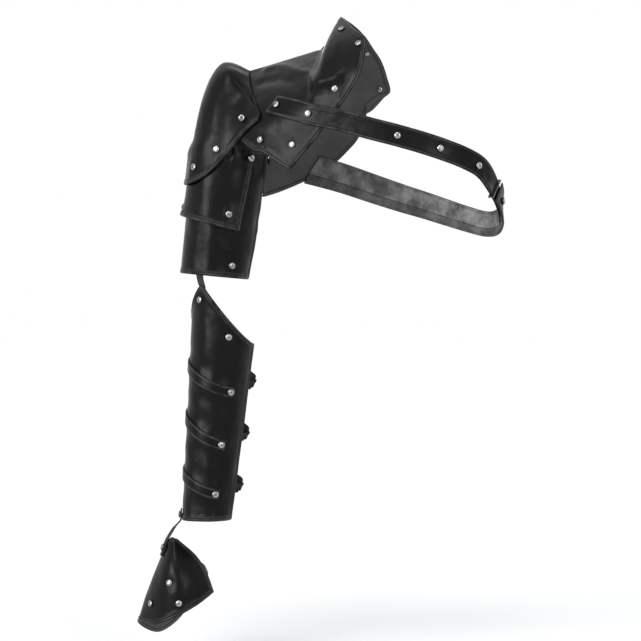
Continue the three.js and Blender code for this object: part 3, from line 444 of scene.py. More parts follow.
def upperLameAt(s, t):
    # tube with a scooped top; its two ears turn into flat planes that follow the cap's inside
    theta = steps(upperTurns, s)
    draw = arm["hemDraw"] * t * smooth((np.abs(theta) - arm["drawFrom"]) / arm["drawSpan"])
    theta = theta - np.sign(theta) * draw
    off = np.abs(np.abs(theta) - arm["earTurn"])
    ear = smooth((arm["earFoot"] - off) / (arm["earFoot"] - arm["earHalf"]))
    foot = arm["footShare"] * arm["earRise"] * smooth((np.abs(theta) - arm["footFrom"]) / arm["footSpan"])
    top = arm["lameTopZ"] + foot + arm["earRise"] * ear
    hem = arm["lameHemZ"] + arm["hemDrop"] * arm["radius"] * np.cos(np.radians(theta))
    z = top + (hem - top) * t
    flare = smooth((t - arm["flareFrom"]) / (1 - arm["flareFrom"]))
    lift = arm["lameLift"] + arm["lameFlare"] * t + arm["hemFlare"] * flare
    point = armSpot(theta, z, lift)[0]
    side = np.where(theta > 0, -1, 1)
    across = (arm["earHalfWidth"] / arm["earHalf"]) * (np.abs(theta) - arm["earTurn"])
    bow = arm["earSlope"] * (across - np.maximum(z - arm["pivotZ"], 0))
    reach = np.where(theta > 0, earReach["front"], earReach["back"]) + bow
    flat = np.stack([arm["pivotX"] + across, arm["middleY"] + side * reach, z], -1)
    share = smooth((z - arm["armpitZ"]) / (arm["flatRise"] * arm["earRise"]))
    share = share * smooth((np.abs(theta) - arm["flatFrom"]) / arm["flatSpan"])
    return point + (flat - point) * share[:, None]


def lowerLameAt(s, t):
    # plain tube; its hem falls a little towards the body
    theta = steps(arm["lowerTurns"], s)
    hem = arm["elbowZ"] + arm["lowerHemDrop"] * arm["radius"] * np.cos(np.radians(theta))
    return armSpot(theta, arm["lowerTopZ"] + (hem - arm["lowerTopZ"]) * t)[0]


# Forearm: the bracer, the straps that close it and its buckles
forearm = {
    "topX": -45.1 * mm,
    "topZ": -314.4 * mm,
    "middleY": -16 * mm,
    "lean": 0.0924,
    "radius": 38 * mm,
    "taper": 0.0395,
    "wristZ": -522 * mm,
    "turns": (-117, 187),
    "peakTurn": 57,
    "peakHalf": 4,
    "peakZ": -243.6 * mm,
    "peakDrop": 68 * mm,
    "peakPower": 1.15,
}
forearm["length"] = forearm["peakZ"] - forearm["wristZ"]


def forearmSpot(theta, z, lift=0.0):
    # a place on the forearm: a leaning cone that narrows evenly to the wrist
    theta, z, lift = np.broadcast_arrays(np.asarray(theta, float), z, lift)
    drop = forearm["topZ"] - z
    middle = np.stack([forearm["topX"] - forearm["lean"] * drop, np.full(z.shape, forearm["middleY"]), z], -1)
    radius = forearm["radius"] - forearm["taper"] * drop
    return tubeSpot(theta, middle, radius, forearm["lean"], forearm["taper"], lift)


def bracerAt(s, t):
    # tube from a slanting top, a sine from the peak down to the open edge, to the level hem
    theta = steps(forearm["turns"], s)
    off = np.maximum(np.abs(theta - forearm["peakTurn"]) - forearm["peakHalf"], 0)
    span = forearm["turns"][1] - forearm["peakTurn"] - forearm["peakHalf"]
    fall = np.sin(np.radians(90 * np.minimum(off / span, 1))) ** forearm["peakPower"]
    top = forearm["peakZ"] - forearm["peakDrop"] * fall
    return forearmSpot(theta, top + (forearm["wristZ"] - top) * t)[0]


closure = {
    "rows": [[0.379, 0.072, 116], [0.603, 0.075, 108], [0.832, 0.057, 105.6]],
    "turnShift": 15,
    "slantTurn": 130,
    "width": 12 * mm,
    "wall": 1.6 * mm,
    "gap": 0.4 * mm,
    "leaveTurn": -132,
    "tailTurn": 9,
    "bow": 60 * mm,
    "bridge": 0.75,
    "tailRoom": 6.9 * mm,
    "barSpan": 6.6 * mm,
    "barWidth": 2 * mm,
    "barDepth": 1.6 * mm,
    "holeWidth": 17 * mm,
    "tilt": 22,
    "corner": 3 * mm,
    "flapWall": 1.1 * mm,
    "flapInset": 0.3 * mm,
    "flapDepth": 0.4 * mm,
    "swell": 0.12 * mm,
    "stitchRows": (1.6 * mm,),
}


def closurePlace(row, psi, lift):
    # a slanting ring round the bracer: its height swings with the cosine of the turn
    psi = np.asarray(psi, float)
    slant = row[1] * forearm["length"] * np.cos(np.radians(psi - closure["slantTurn"]))
    z = forearm["peakZ"] - row[0] * forearm["length"] - slant
    return forearmSpot(psi + closure["turnShift"], z, lift)


def bowed(spot, distance, bow):
    # a spot moved forward along a circle of radius bow, and turned with it
    point, along, normal, across = spot
    angle = distance / bow
    forward = along * math.cos(angle) - normal * math.sin(angle)
    out = normal * math.cos(angle) + along * math.sin(angle)
    moved = point + along * bow * math.sin(angle) - normal * bow * (1 - math.cos(angle))
    return moved, forward, out, across


# Hand guard: columns in shares of its length, from the wrist
hand = {
    "length": 100 * mm,
    "columns": [
        [[-0.37, 0.13, -0.31], [-0.37, 0.29, -0.62], [-0.362, 0.4, -0.86], [-0.358, 0.48, -1.077]],
        [[-0.42, 0.12, -0.33], [-0.49, 0.28, -0.72], [-0.53, 0.39, -1], [-0.543, 0.46, -1.297]],
        [[-0.47, 0.08, -0.34], [-0.6, 0.22, -0.76], [-0.69, 0.32, -1.07], [-0.723, 0.38, -1.426]],
        [[-0.499, 0.02, -0.329], [-0.67, 0.14, -0.735], [-0.794, 0.2, -1.027], [-0.853, 0.22, -1.374]],
        [[-0.498, -0.04, -0.299], [-0.663, -0.04, -0.696], [-0.773, -0.02, -0.974], [-0.863, -0.02, -1.255]],
        [[-0.436, -0.09, -0.232], [-0.492, -0.22, -0.579], [-0.548, -0.24, -0.926], [-0.573, -0.24, -1.25]],
        [[-0.391, -0.11, -0.223], [-0.323, -0.27, -0.521], [-0.272, -0.31, -0.824], [-0.275, -0.3, -1.135]],
        [[-0.369, -0.1, -0.229], [-0.196, -0.2, -0.501], [-0.101, -0.22, -0.734], [-0.058, -0.2, -1.009]],
        [[-0.357, -0.06, -0.239], [-0.124, -0.04, -0.445], [0.002, -0.02, -0.647], [0.084, 0, -0.871]],
    ],
}
wrist = np.array([forearm["topX"] - forearm["lean"] * (forearm["topZ"] - forearm["wristZ"]),
                  forearm["middleY"], forearm["wristZ"]])


def handAt(s, t):
    # smooth rows through smooth columns
    net = through(np.stack([through(column, t) for column in hand["columns"]]), s)
    return wrist + net * hand["length"]


def spotOn(at, s, t, lift=0.0, facing=1):
    # one place of a surface, lifted along its normal, and the normal
    s, t = np.array([s], float), np.array([t], float)
    normal = normalsOf(at, s, t, facing)
    return at(s, t) + normal * lift, normal


# Elastic bands: elbow link inside both pieces, wrist link outside both, palm band, arm band
bands = {
    "elbowWidth": 9 * mm,
    "wristWidth": 8 * mm,
    "tuck": hide["wall"] + 2.4 * closure["gap"],
    "lift": hide["elasticWall"] + closure["gap"],
    "elbowReach": 11 * mm,
    "wristReach": 13 * mm,
    "wristBow": 8 * mm,
    "wristTurn": 18.5,
    "handColumn": 0.547,
    "armTurns": (172, 226),
    "armZ": -150 * mm,
    "armWidth": 26 * mm,
    "palmColumns": (0.85, 0.969, 0.03, 0.12),
    "palmMiddle": 0.6,
    "palmPlace": 0.42,
    "palmWidth": 0.15,
    "palmDip": 22 * mm,
    "palmPower": 0.7,
}
gap = closure["gap"]
elbowStart = armSpot([74.0], arm["elbowZ"], -bands["tuck"])[0]
elbowEnd = forearmSpot([58.0], forearm["peakZ"], -bands["tuck"] - 2.5 * gap)[0]
elbowPath = pathOf(
    armSpot([80.0, 79.0], arm["elbowZ"] + bands["elbowReach"] * np.array([1, 0.18]), -bands["tuck"]),
    ((elbowStart + elbowEnd) / 2, armSpot([68.0], arm["elbowZ"])[1]),
    forearmSpot([56.0, 55.0, 55.0], forearm["peakZ"] - bands["elbowReach"] * np.array([0.36, 1.2, 2]),
                -bands["tuck"] - gap * np.array([2, 0, 0])),
)
wristTurn, wristReach = [bands["wristTurn"]], bands["wristReach"]
wristPath = pathOf(
    forearmSpot(wristTurn * 3, forearm["wristZ"] + wristReach * np.array([1, 0.46, -0.08]),
                bands["lift"] + gap * np.array([0, 0, 1])),
    (forearmSpot(wristTurn, forearm["wristZ"] - 0.85 * wristReach, bands["lift"] + bands["wristBow"])[0],
     forearmSpot(wristTurn, forearm["wristZ"])[1]),
    spotOn(handAt, bands["handColumn"], 0, bands["lift"] + 1.5 * gap),
    spotOn(handAt, bands["handColumn"], 0.1, bands["lift"]),
    spotOn(handAt, bands["handColumn"], 0.17, bands["lift"]),
)
palmOut = -spotOn(handAt, bands["palmMiddle"], bands["palmPlace"])[1][0]


def armElasticAt(s, t):
    # strip inside the arm's tube, between two turns and level
    turns = bands["armTurns"][0] + (bands["armTurns"][1] - bands["armTurns"][0]) * s
    return armSpot(turns, bands["armZ"] + bands["armWidth"] * (0.5 - t), -bands["tuck"])[0]


def palmAt(s, t):
    # from inside one edge of the guard, out over the palm in a bow, to inside the other edge
    down = bands["palmPlace"] + bands["palmWidth"] * (t - 0.5)
    ends = []
    for column in bands["palmColumns"]:
        at = np.full(len(t), column)
        ends.append(handAt(at, down) - normalsOf(handAt, at, down) * bands["tuck"])
    bow = []
    for share in (0.2, 0.5, 0.8):
        dip = bands["palmDip"] * math.sin(math.pi * share) ** bands["palmPower"]
        bow.append(ends[1] + (ends[2] - ends[1]) * share + palmOut * dip)
    return through(np.stack([ends[0], ends[1], *bow, ends[2], ends[3]]), s)


# Finishes


class Value:
    # a node's output: sums on it add Math nodes, and sums on plain numbers stay numbers
    def __init__(self, finish, socket):
        self.finish = finish
        self.socket = socket

    def join(self, operation, first, second):
        return self.finish.add("ShaderNodeMath", {"operation": operation}, {0: first, 1: second})

    def __add__(self, other):
        return self.join("ADD", self, other)

    __radd__ = __add__

    def __sub__(self, other):
        return self.join("SUBTRACT", self, other)

    def __rsub__(self, other):
        return self.join("SUBTRACT", other, self)

    def __mul__(self, other):
        return self.join("MULTIPLY", self, other)

    __rmul__ = __mul__

    def __truediv__(self, other):
        return self.join("DIVIDE", self, other)

    def between(self, low, high):
        # 0 under low, 1 over high and a smooth step between
        sockets = {"Value": self, "From Min": low, "From Max": high}
        return self.finish.add("ShaderNodeMapRange", {"interpolation_type": "SMOOTHSTEP"}, sockets)


class Finish:
    # the nodes of a new material, or of the world; every node but its output comes from add
    def __init__(self, name, world=None):
        self.owner = world or bpy.data.materials.new(name)
        self.owner.use_nodes = True
        self.tree = self.owner.node_tree
        self.tree.nodes.clear()

    def add(self, kind, settings, sockets, output=0):
        node = self.tree.nodes.new(kind)
        for key, value in settings.items():
            setattr(node, key, value)
        for key, value in sockets.items():
            if isinstance(value, Value):
                self.tree.links.new(value.socket, node.inputs[key])
            else:
                node.inputs[key].default_value = value
        return Value(self, node.outputs[output])

    def place(self):
        return self.add("ShaderNodeTexCoord", {}, {}, "Object")

    def named(self, attribute):
        return self.add("ShaderNodeAttribute", {"attribute_name": attribute}, {}, "Fac")

    def noise(self, where, scale, detail=3.0, roughness=0.5):
        sockets = {"Vector": where, "Scale": scale, "Detail": detail, "Roughness": roughness}
        return self.add("ShaderNodeTexNoise", {}, sockets)

    def cells(self, where, scale, feature="F1"):
        return self.add("ShaderNodeTexVoronoi", {"feature": feature}, {"Vector": where, "Scale": scale})

    def blend(self, share, first, second):
        # two colours, at inputs 6 and 7 of a colour Mix node, whose output 2 is the colour
        sockets = {0: share, 6: (*first, 1) if isinstance(first, tuple) else first,
                   7: (*second, 1) if isinstance(second, tuple) else second}
        return self.add("ShaderNodeMix", {"data_type": "RGBA"}, sockets, 2)

    def bump(self, height, distance, strength=1.0, under=None):
        sockets = {"Height": height, "Distance": distance, "Strength": strength}
        if under is not None:
            sockets["Normal"] = under
        return self.add("ShaderNodeBump", {}, sockets)

    def seen(self):
        # 1 for camera, glossy and transmission rays, 0 for those that light the object
        rays = self.add("ShaderNodeLightPath", {}, {}, "Is Camera Ray")
        glossy, clear = (Value(self, rays.socket.node.outputs[f"Is {kind} Ray"])
                         for kind in ("Glossy", "Transmission"))
        return rays.join("MAXIMUM", rays.join("MAXIMUM", rays, glossy), clear)

    def close(self, kind, shader):
        out = self.tree.nodes.new(kind)
        self.tree.links.new(shader.socket, out.inputs["Surface"])
        return self.owner

    def done(self, **sockets):
        named = {key.replace("_", " "): value for key, value in sockets.items()}
        return self.close("ShaderNodeOutputMaterial", self.add("ShaderNodeBsdfPrincipled", {}, named))


# The hem rolls, with wear and painted highlight lines: start, full, fading and end in mm from the edge, and
# how much
leatherLook = {
    "dark": (0.0016, 0.0016, 0.0018),
    "light": (0.0034, 0.0034, 0.0037),
    "wornAndSheen": (0.085, 0.085, 0.088),
    "wornAndSheenShare": 0.6,
    "rolls": ((0.4, 1.1, 1.7, 2.4, 1.0), (3.4, 3.9, 4.5, 5.0, 0.6)),
    "pebbles": 1050,
    "sheen": 0.12,
}


def leatherFinish(name, gloss, grain):
    # coated leather: black, fine pebbled grain, soft creases, duller and greyer along its edges and
    # the rolls of its hems, with wear and painted highlight lines there
    finish = Finish(name)
    where = finish.place()
    clouds = finish.noise(where, 22, 4)
    fine = finish.noise(where, 260, 4, 0.6)
    edge = finish.named("edge")
    # wear and painted highlight lines: paler, duller colour at the rim, along the edge and on the hem rolls,
    # in patches
    wearAndSheenMask = 0.35 * (1 - edge.between(0.0, 0.8))
    for start, full, fading, end, share in leatherLook["rolls"]:
        wearAndSheenMask = wearAndSheenMask + share * (edge.between(start, full) * (1 - edge.between(fading, end)))
    wearAndSheenMask = wearAndSheenMask * finish.noise(where, 90, 3).between(0.25, 0.65)
    colour = finish.blend(clouds, leatherLook["dark"], leatherLook["light"])
    colour = finish.blend(wearAndSheenMask * leatherLook["wornAndSheenShare"], colour, leatherLook["wornAndSheen"])
    roughness = gloss + 0.12 * clouds + 0.06 * fine + 0.1 * wearAndSheenMask
    pebbles = finish.cells(where, leatherLook["pebbles"], "SMOOTH_F1")
    normal = finish.bump(finish.noise(where, 27, 2, 0.45), 0.006, 0.4)
    normal = finish.bump(finish.noise(where, 85, 3, 0.55), 0.0011, 0.25, normal)
    normal = finish.bump(pebbles + 0.5 * fine, 0.00016 * grain, 0.5, normal)
    return finish.done(Base_Color=colour, Roughness=roughness, Normal=normal,
                       Specular_IOR_Level=leatherLook["sheen"])


def liningFinish(name, low, high, patch, seam, isStrap=False):
    # cloth backing: dark grey, mottled, with a fine knit and a seam line in millimetres from its
    # hems, or on a strap from its lower edge with a darker fold under it
    finish = Finish(name)
    where = finish.place()
    mottle = finish.noise(where, patch, 5, 0.62)
    loops = finish.cells(where, 1500)
    colour = finish.blend(mottle.between(0.3, 0.72), (low,) * 3, (high,) * 3)
    colour = finish.blend(loops * 0.35, colour, (low * 0.5,) * 3)
    edge = finish.named("edge")
    if isStrap:
        spread = finish.add("ShaderNodeUVMap", {"uv_map": "along"}, {})
        edge = finish.add("ShaderNodeSeparateXYZ", {}, {0: spread}, 1) / mm
        colour = finish.blend(0.45 * (1 - edge.between(seam - 0.5, seam + 0.5)), colour, (low * 0.5,) * 3)
    line = edge.between(seam - 0.8, seam - 0.2) * (1 - edge.between(seam + 0.2, seam + 0.8))
    colour = finish.blend(line * 0.8, colour, (low * 0.22,) * 3)
    normal = finish.bump(loops + finish.noise(where, 500, 2), 0.0003, 0.5)
    normal = finish.bump(mottle, 0.0012, 0.35, normal)
    return finish.done(Base_Color=colour, Roughness=0.9, Normal=normal, Specular_IOR_Level=0.15)


def elasticFinish():
    # ribbed elastic: black cords across the band, grey on their tops
    finish = Finish("ribbed_elastic")
    where = finish.place()
    rib = finish.named("rib")
    colour = finish.blend(rib, (0.006, 0.006, 0.006), (0.05, 0.05, 0.052))
    fluff = finish.noise(where, 900, 3)
    normal = finish.bump(rib + 0.3 * fluff, 0.0003, 0.6)
    return finish.done(Base_Color=colour, Roughness=0.75 + 0.1 * fluff, Normal=normal, Specular_IOR_Level=0.3)


def metalFinish(name, shade, gloss, dark):
    # plated metal: faint tarnish clouds and fine scratches, and painted shade in the dish and under the rim
    finish = Finish(name)
    where = finish.place()
    clouds = finish.noise(where, 190, 4, 0.6)
    scratch = finish.noise(where, 1400, 2)
    colour = finish.blend(clouds.between(0.42, 0.7), (shade,) * 3, (shade * dark,) * 3)
    # painted shade: a darker colour in the dish and towards the rim, from a value on each place
    colour = finish.blend(finish.named("paintedShade"), colour, (shade * 0.12,) * 3)
    normal = finish.bump(clouds + 0.2 * scratch, 0.0004, 0.35)
    roughness = gloss + 0.16 * clouds + 0.06 * scratch
    return finish.done(Base_Color=colour, Metallic=1.0, Roughness=roughness, Normal=normal)


def threadFinish():
    # twisted thread: nearly black, with paler strands
    finish = Finish("sewing_thread")
    twist = finish.noise(finish.place(), 2600, 2)
    colour = finish.blend(twist, (0.006, 0.006, 0.0065), (0.028, 0.028, 0.03))
    return finish.done(Base_Color=colour, Roughness=0.6, Normal=finish.bump(twist, 0.0001, 0.5))


leatherOuter = leatherFinish("coated_leather", 0.22, 1.0)
leatherEdge = leatherFinish("leather_edge", 0.36, 0.6)
lining = liningFinish("cloth_lining", 0.09, 0.115, 30, 3.6)
strapLining = liningFinish("strap_lining", 0.065, 0.27, 55, 11.5, True)
elastic = elasticFinish()
nickel = metalFinish("nickel", 0.4, 0.14, 0.4)
darkMetal = metalFinish("dark_metal", 0.1, 0.26, 0.5)
thread = threadFinish()
print("finishes made")


# Meshes


def meshOf(name, places, faces, finishes, slots, values=None, uv=None):
    # one object from whole arrays: places, groups of three- or four-cornered faces, a finish slot
    # for each face and named values for each place
    mesh = bpy.data.meshes.new(name)
    mesh.vertices.add(len(places))
    mesh.vertices.foreach_set("co", np.ascontiguousarray(places, np.float32).ravel())
    corners = np.concatenate([group.ravel() for group in faces]).astype(np.int32)
    sizes = np.concatenate([np.full(len(group), group.shape[1]) for group in faces])
    mesh.loops.add(len(corners))
    mesh.loops.foreach_set("vertex_index", corners)
    mesh.polygons.add(len(sizes))
    mesh.polygons.foreach_set("loop_start", np.concatenate([[0], np.cumsum(sizes)[:-1]]).astype(np.int32))
    for finish in finishes:
        mesh.materials.append(finish)
    mesh.polygons.foreach_set("material_index", np.broadcast_to(slots, len(sizes)).astype(np.int32))
    mesh.polygons.foreach_set("use_smooth", np.ones(len(sizes), bool))
    for key, value in (values or {}).items():
        mesh.attributes.new(key, "FLOAT", "POINT").data.foreach_set("value", value.astype(np.float32))
    if uv is not None:
        mesh.uv_layers.new(name="along").data.foreach_set("uv", uv[corners].astype(np.float32).ravel())
    mesh.update(calc_edges=True)
    return setOut(name, mesh)


def setOut(name, content):
    # a mesh, lamp or camera put into the scene
    thing = bpy.data.objects.new(name, content)
    bpy.context.scene.collection.objects.link(thing)
    return thing


def fitted(piece, bodyName, node=None):
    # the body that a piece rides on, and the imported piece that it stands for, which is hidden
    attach(piece, bodyName)
    if node:
        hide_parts(node)


def bandFaces(first, second):
    # faces between two rings of places, or between each two rows of rings
    quads = np.stack([first, np.roll(first, -1, -1), np.roll(second, -1, -1), second], -1)
    return quads.reshape(-1, 4)


def sheetFaces(downs, across):
    # faces of a grid of places, and the ring of places round its border
    spots = np.arange(downs * across).reshape(downs, across)
    quads = np.stack([spots[:-1, :-1], spots[1:, :-1], spots[1:, 1:], spots[:-1, 1:]], -1).reshape(-1, 4)
    return quads, np.concatenate([spots[0, :-1], spots[:-1, -1], spots[-1, :0:-1], spots[:0:-1, 0]])


def gridShares(length, fine=0.55 * mm, border=7.7 * mm, coarse=1.7 * mm):
    # shares from 0 to 1, close together near both ends and wider between
    if length < 2.4 * border:
        return np.linspace(0, 1, int(length / fine) + 1)
    edge = border / length
    near = np.linspace(0, edge, math.ceil(border / fine) + 1)
    middle = np.linspace(edge, 1 - edge, math.ceil((length - 2 * border) / coarse) + 1)
    return np.concatenate([near[:-1], middle, 1 - near[::-1][1:]])


def gapTo(points, line):
    # shortest distance from each point to a polyline
    start, way = line[:-1], line[1:] - line[:-1]
    square = np.maximum((way * way).sum(1), 1e-18)
    gaps = []
    for block in np.array_split(points, max(len(points) // 2500, 1)):
        off = block[:, None] - start
        share = np.clip((off * way).sum(2) / square, 0, 1)
        gaps.append(np.linalg.norm(off - share[..., None] * way, axis=2).min(1))
    return np.concatenate(gaps)


hem = {
    "width": 6.6 * mm,
    "rise": 0.6 * mm,
    "fall": 1.2 * mm,
    "lead": 0.8 * mm,
    "roll": 0.4 * mm,
    "rollPlace": 1.4 * mm,
    "rollWidth": 0.75 * mm,
    "round": 0.45 * mm,
    "roundWidth": 0.8 * mm,
    "groove": 0.25 * mm,
    "foldGroove": 0.22 * mm,
    "grooveWidth": 0.5 * mm,
    "stitchRows": (2.9 * mm, 5.5 * mm),
}


def hill(distance, width):
    # Gaussian: 1 in the middle, about a third at the width
    return np.exp(-(distance / width) ** 2)


def hemProfile(gap, fold, rows):
    # a rounded edge, sunk stitch rows, and for a folded hem a roll and the step where the fold ends
    step = fold * hem["rise"] * (1 - smooth((gap - hem["width"] + hem["lead"]) / hem["fall"]))
    roll = fold * hem["roll"] * hill(gap - hem["rollPlace"], hem["rollWidth"])
    edge = -hem["round"] * (1 - smooth(gap / hem["roundWidth"]))
    groove = hem["groove"] + hem["foldGroove"] * fold
    return step + roll + edge - groove * sum(hill(gap - row, hem["grooveWidth"]) for row in rows)


def creases(points, size):
    # uneven leather: broad waves and smaller ones on them
    broad = ripple(points, hide["broadWave"], 11)
    small = ripple(points, hide["smallWave"], 12)
    return size * (0.62 * broad + 0.3 * small * (0.5 + 0.5 * smooth(broad + 0.4)))


stitch = {
    "pitch": 3.4 * mm,
    "corner": 2 * mm,
    "half": 1.28 * mm,
    "radius": 0.3 * mm,
    "bow": 0.3,
    "rise": 0.12 * mm,
    "rings": ((-1, 0.4), (-0.62, 1), (0.62, 1), (1, 0.4)),
}


def stitchRow(line, inward, surface, normals, offset):
    # thread places along an edge: even steps, moved inward, set down on the nearest spot
    lengths = np.concatenate([[0], np.cumsum(np.linalg.norm(np.diff(line, axis=0), axis=1))])
    room = offset + stitch["corner"]
    count = int((lengths[-1] - 2 * room) / stitch["pitch"])
    if count < 2:
        return None
    marks = np.linspace(room, lengths[-1] - room, count)

    def atMarks(rows):
        return np.stack([np.interp(marks, lengths, rows[:, k]) for k in range(3)], -1)

    point = atMarks(line) + unit(atMarks(inward)) * offset
    near = np.concatenate([((part[:, None] - surface) ** 2).sum(2).argmin(1)
                           for part in np.array_split(point, max(len(point) // 60, 1))])
    normal = normals[near]
    point = point - normal * ((point - surface[near]) * normal).sum(1, keepdims=True)
    along = np.gradient(point, axis=0)
    along = unit(along - normal * (along * normal).sum(1, keepdims=True))
    return point, along, normal


def threadMesh(name, rows):
    # short closed capsules, one for each stitch, bowed so that their ends sink in
    half, radius = stitch["half"], stitch["radius"]
    turns = np.radians(np.arange(6) * 60)
    shape = np.array([[x * half, r * radius * math.cos(a),
                       r * radius * math.sin(a) - stitch["bow"] * radius * x * x]
                      for x, r in stitch["rings"] for a in turns])
    rings = np.arange(len(shape)).reshape(-1, 6)
    sides = bandFaces(rings[:-1], rings[1:])
    ends = [[3, 2, 1, 0], [5, 4, 3, 0], [18, 19, 20, 21], [18, 21, 22, 23]]  # two faces close each end
    faces = np.concatenate([sides, ends])
    point, along, normal = (np.concatenate(group) for group in zip(*rows))
    frames = np.stack([along, np.cross(normal, along), normal], 1)
    places = point[:, None] + np.einsum("vk,nkc->nvc", shape, frames) + normal[:, None] * stitch["rise"]
    quads = faces[None, :, ::-1] + np.arange(len(point))[:, None, None] * len(shape)
    return meshOf(name, places.reshape(-1, 3), [quads.reshape(-1, 4)], [thread], 0)


def edgesOf(grid):
    # the four border lines of a grid, and from each the way to the rows next to it
    lines = {"t": grid[0], "b": grid[-1], "l": grid[:, 0], "r": grid[:, -1]}
    inward = {"t": grid[2] - grid[0], "b": grid[-3] - grid[-1], "l": grid[:, 2] - grid[:, 0],
              "r": grid[:, -3] - grid[:, -1]}
    return lines, inward


def rimPlaces(outer, inner, normal, inward, loop):
    # half ellipses from the outer face round to the inner one, at each place of the border
    outward = -np.concatenate([inward["t"][:-1], inward["r"][:-1], inward["b"][:0:-1], inward["l"][:0:-1]])
    outward = unit(outward - normal[loop] * (outward * normal[loop]).sum(1, keepdims=True))
    middle, half = (outer[loop] + inner[loop]) / 2, (outer[loop] - inner[loop]) / 2
    reach = np.linalg.norm(half, axis=1, keepdims=True) * hide["rimBulge"]
    return [middle + half * math.cos(angle) + outward * reach * math.sin(angle)
            for angle in np.radians(hide["rimTurns"])]


def shell(name, bodyName, at, size, wall=hide["wall"], hems="tblr", facing=1, sewn="", relief=None,
          studs=(), swell=hide["swell"], backing=lining, node=None, threadRows=None, fold=1.0,
          stitches=hem["stitchRows"], under=""):
    # one leather piece: outer face, backing, a rounded rim between them, hems and their stitching.
    # size is about its reach along s and t, which sets the grid; its sides are top, bottom, left and
    # right, and under names those with stitches on the backing
    s, t = gridShares(size[0]), gridShares(size[1])
    gridS, gridT = (g.ravel() for g in np.meshgrid(s, t))
    base = at(gridS, gridT)
    normal = normalsOf(at, gridS, gridT, facing)
    lines, inward = edgesOf(base.reshape(len(t), len(s), 3))
    gaps = {side: gapTo(base, lines[side]) for side in hems + sewn}
    toHem = np.minimum.reduce([gaps[side] for side in hems])
    calm = np.ones(len(base))
    sink = np.zeros(len(base))
    for place in studs:
        off = np.linalg.norm(base - place, axis=1)
        calm *= 1 - hill(off, hide["studCalm"])
        sink -= hide["studSink"] * hill(off, hide["studSinkWidth"])
    wave = creases(base, swell) * calm
    if relief:
        wave = wave + relief(base, gridS, gridT) * (0.25 + 0.75 * calm)
    height = wave + sink + hemProfile(toHem, fold, stitches)
    for side in sewn:
        height = height - hide["seamSink"] * hill(gaps[side], hide["seamWidth"])
    outer = base + normal * height[:, None]
    inner = base + normal * (wave + sink - wall)[:, None]
    count = len(base)
    quads, loop = sheetFaces(len(t), len(s))
    rims = rimPlaces(outer, inner, normal, inward, loop)
    rings = np.concatenate([[loop], 2 * count + np.arange(len(rims) * len(loop)).reshape(len(rims), -1),
                            [loop + count]])
    faces = [quads, quads[:, ::-1] + count, bandFaces(rings[:-1], rings[1:])]
    if facing < 0:
        faces = [group[:, ::-1] for group in faces]
    slots = np.repeat([0, 1, 2], [len(group) for group in faces])
    # distances to the hems for the wear and the painted highlight lines on the rolls; a cut edge keeps them
    # only near it
    wornAndSheen = np.where((fold < 0.5) & (toHem > hide["cutWearAndSheen"]), 10 * mm, toHem)  # a cut edge has no rolls
    values = {"edge": np.concatenate([wornAndSheen, toHem, np.zeros(len(rims) * len(loop))]) / mm}
    uv = np.stack([gridS * size[0], gridT * size[1]], -1)
    uv = np.concatenate([uv, uv, np.tile(uv[loop], (len(rims), 1))])
    finishes = [leatherOuter, backing, leatherEdge]
    piece = meshOf(name, np.concatenate([outer, inner, *rims]), faces, finishes, slots, values, uv)
    fitted(piece, bodyName, node)
    rows = []
    for offset in stitches:
        for side in hems if threadRows is None else threadRows:
            rows.append(stitchRow(lines[side], inward[side], outer, normal, offset))
        for side in under:
            rows.append(stitchRow(lines[side], inward[side], inner, -normal, offset))
    rows = [row for row in rows if row]
    if rows:
        fitted(threadMesh(name + "_stitching", rows), bodyName)


# Leather pieces


def lineOn(at, shares):
    # a smooth line on a surface through places given in its shares
    shares = through(np.array(shares, float), np.linspace(0, 1, 24))
    return at(shares[:, 0], shares[:, 1])


def linesOn(at, lines):
    # raised and sunk lines on a surface: each one's height times a Gaussian of the distance to it
    traced = [(lineOn(at, places), width, height) for places, width, height in lines.values()]
    return lambda points: sum(height * hill(gapTo(points, line), width) for line, width, height in traced)


# Places of the rivets: on the yoke in shares of reach and drop, on the cap and the guard in the
# surface's own shares, on the tubes a turn and a share of the height
studPlaces = {
    "yoke": [[0.783, 0.599], [0.995, 0.363], [0.825, -0.197], [0.448, -0.855], [0.152, -0.777]],
    "back": [[0.839, 0.428], [0.912, -0.013]],
    "strap": [[0.298, -0.368], [0.597, -0.487]],
    "cap": [[0.717, 0.85], [0.595, 0.894]],
    "upper": [[116.4, 0.846], [2.5, 0.699]],
    "lower": [[134.6, 0.926], [-5.4, 0.874]],
    "bracerTop": [57, 0.0564],
    "bracerEdge": [118, 0.2152],
    "wristShare": 0.46,
    "handTop": 0.09,
    "hand": [[0.704, 0.543], [0.581, 0.733], [0.761, 0.828]],
}


def between(low, high, share):
    # straight step from low to high
    return low + (high - low) * share


def bodySpots(places, form):
    # spots on the body form, one by one
    return [onBody(np.array([place]), form) for place in places]


def armSpots(places, top, foot):
    # spots on the arm, each from its turn and its share of the way from top to foot
    return [armSpot([turn], between(top, foot, share)) for turn, share in places]


def bracerSpot(turn, share):
    # the same on the bracer, from its peak to the wrist
    return forearmSpot([turn], between(forearm["peakZ"], forearm["wristZ"], share))


# Every rivet: the body it rides on and its spot
rivets = {}


def setRivets(name, bodyName, spots):
    # a numbered row of rivets on one body
    rivets.update({f"{name}_{k + 1}": (bodyName, spot) for k, spot in enumerate(spots)})


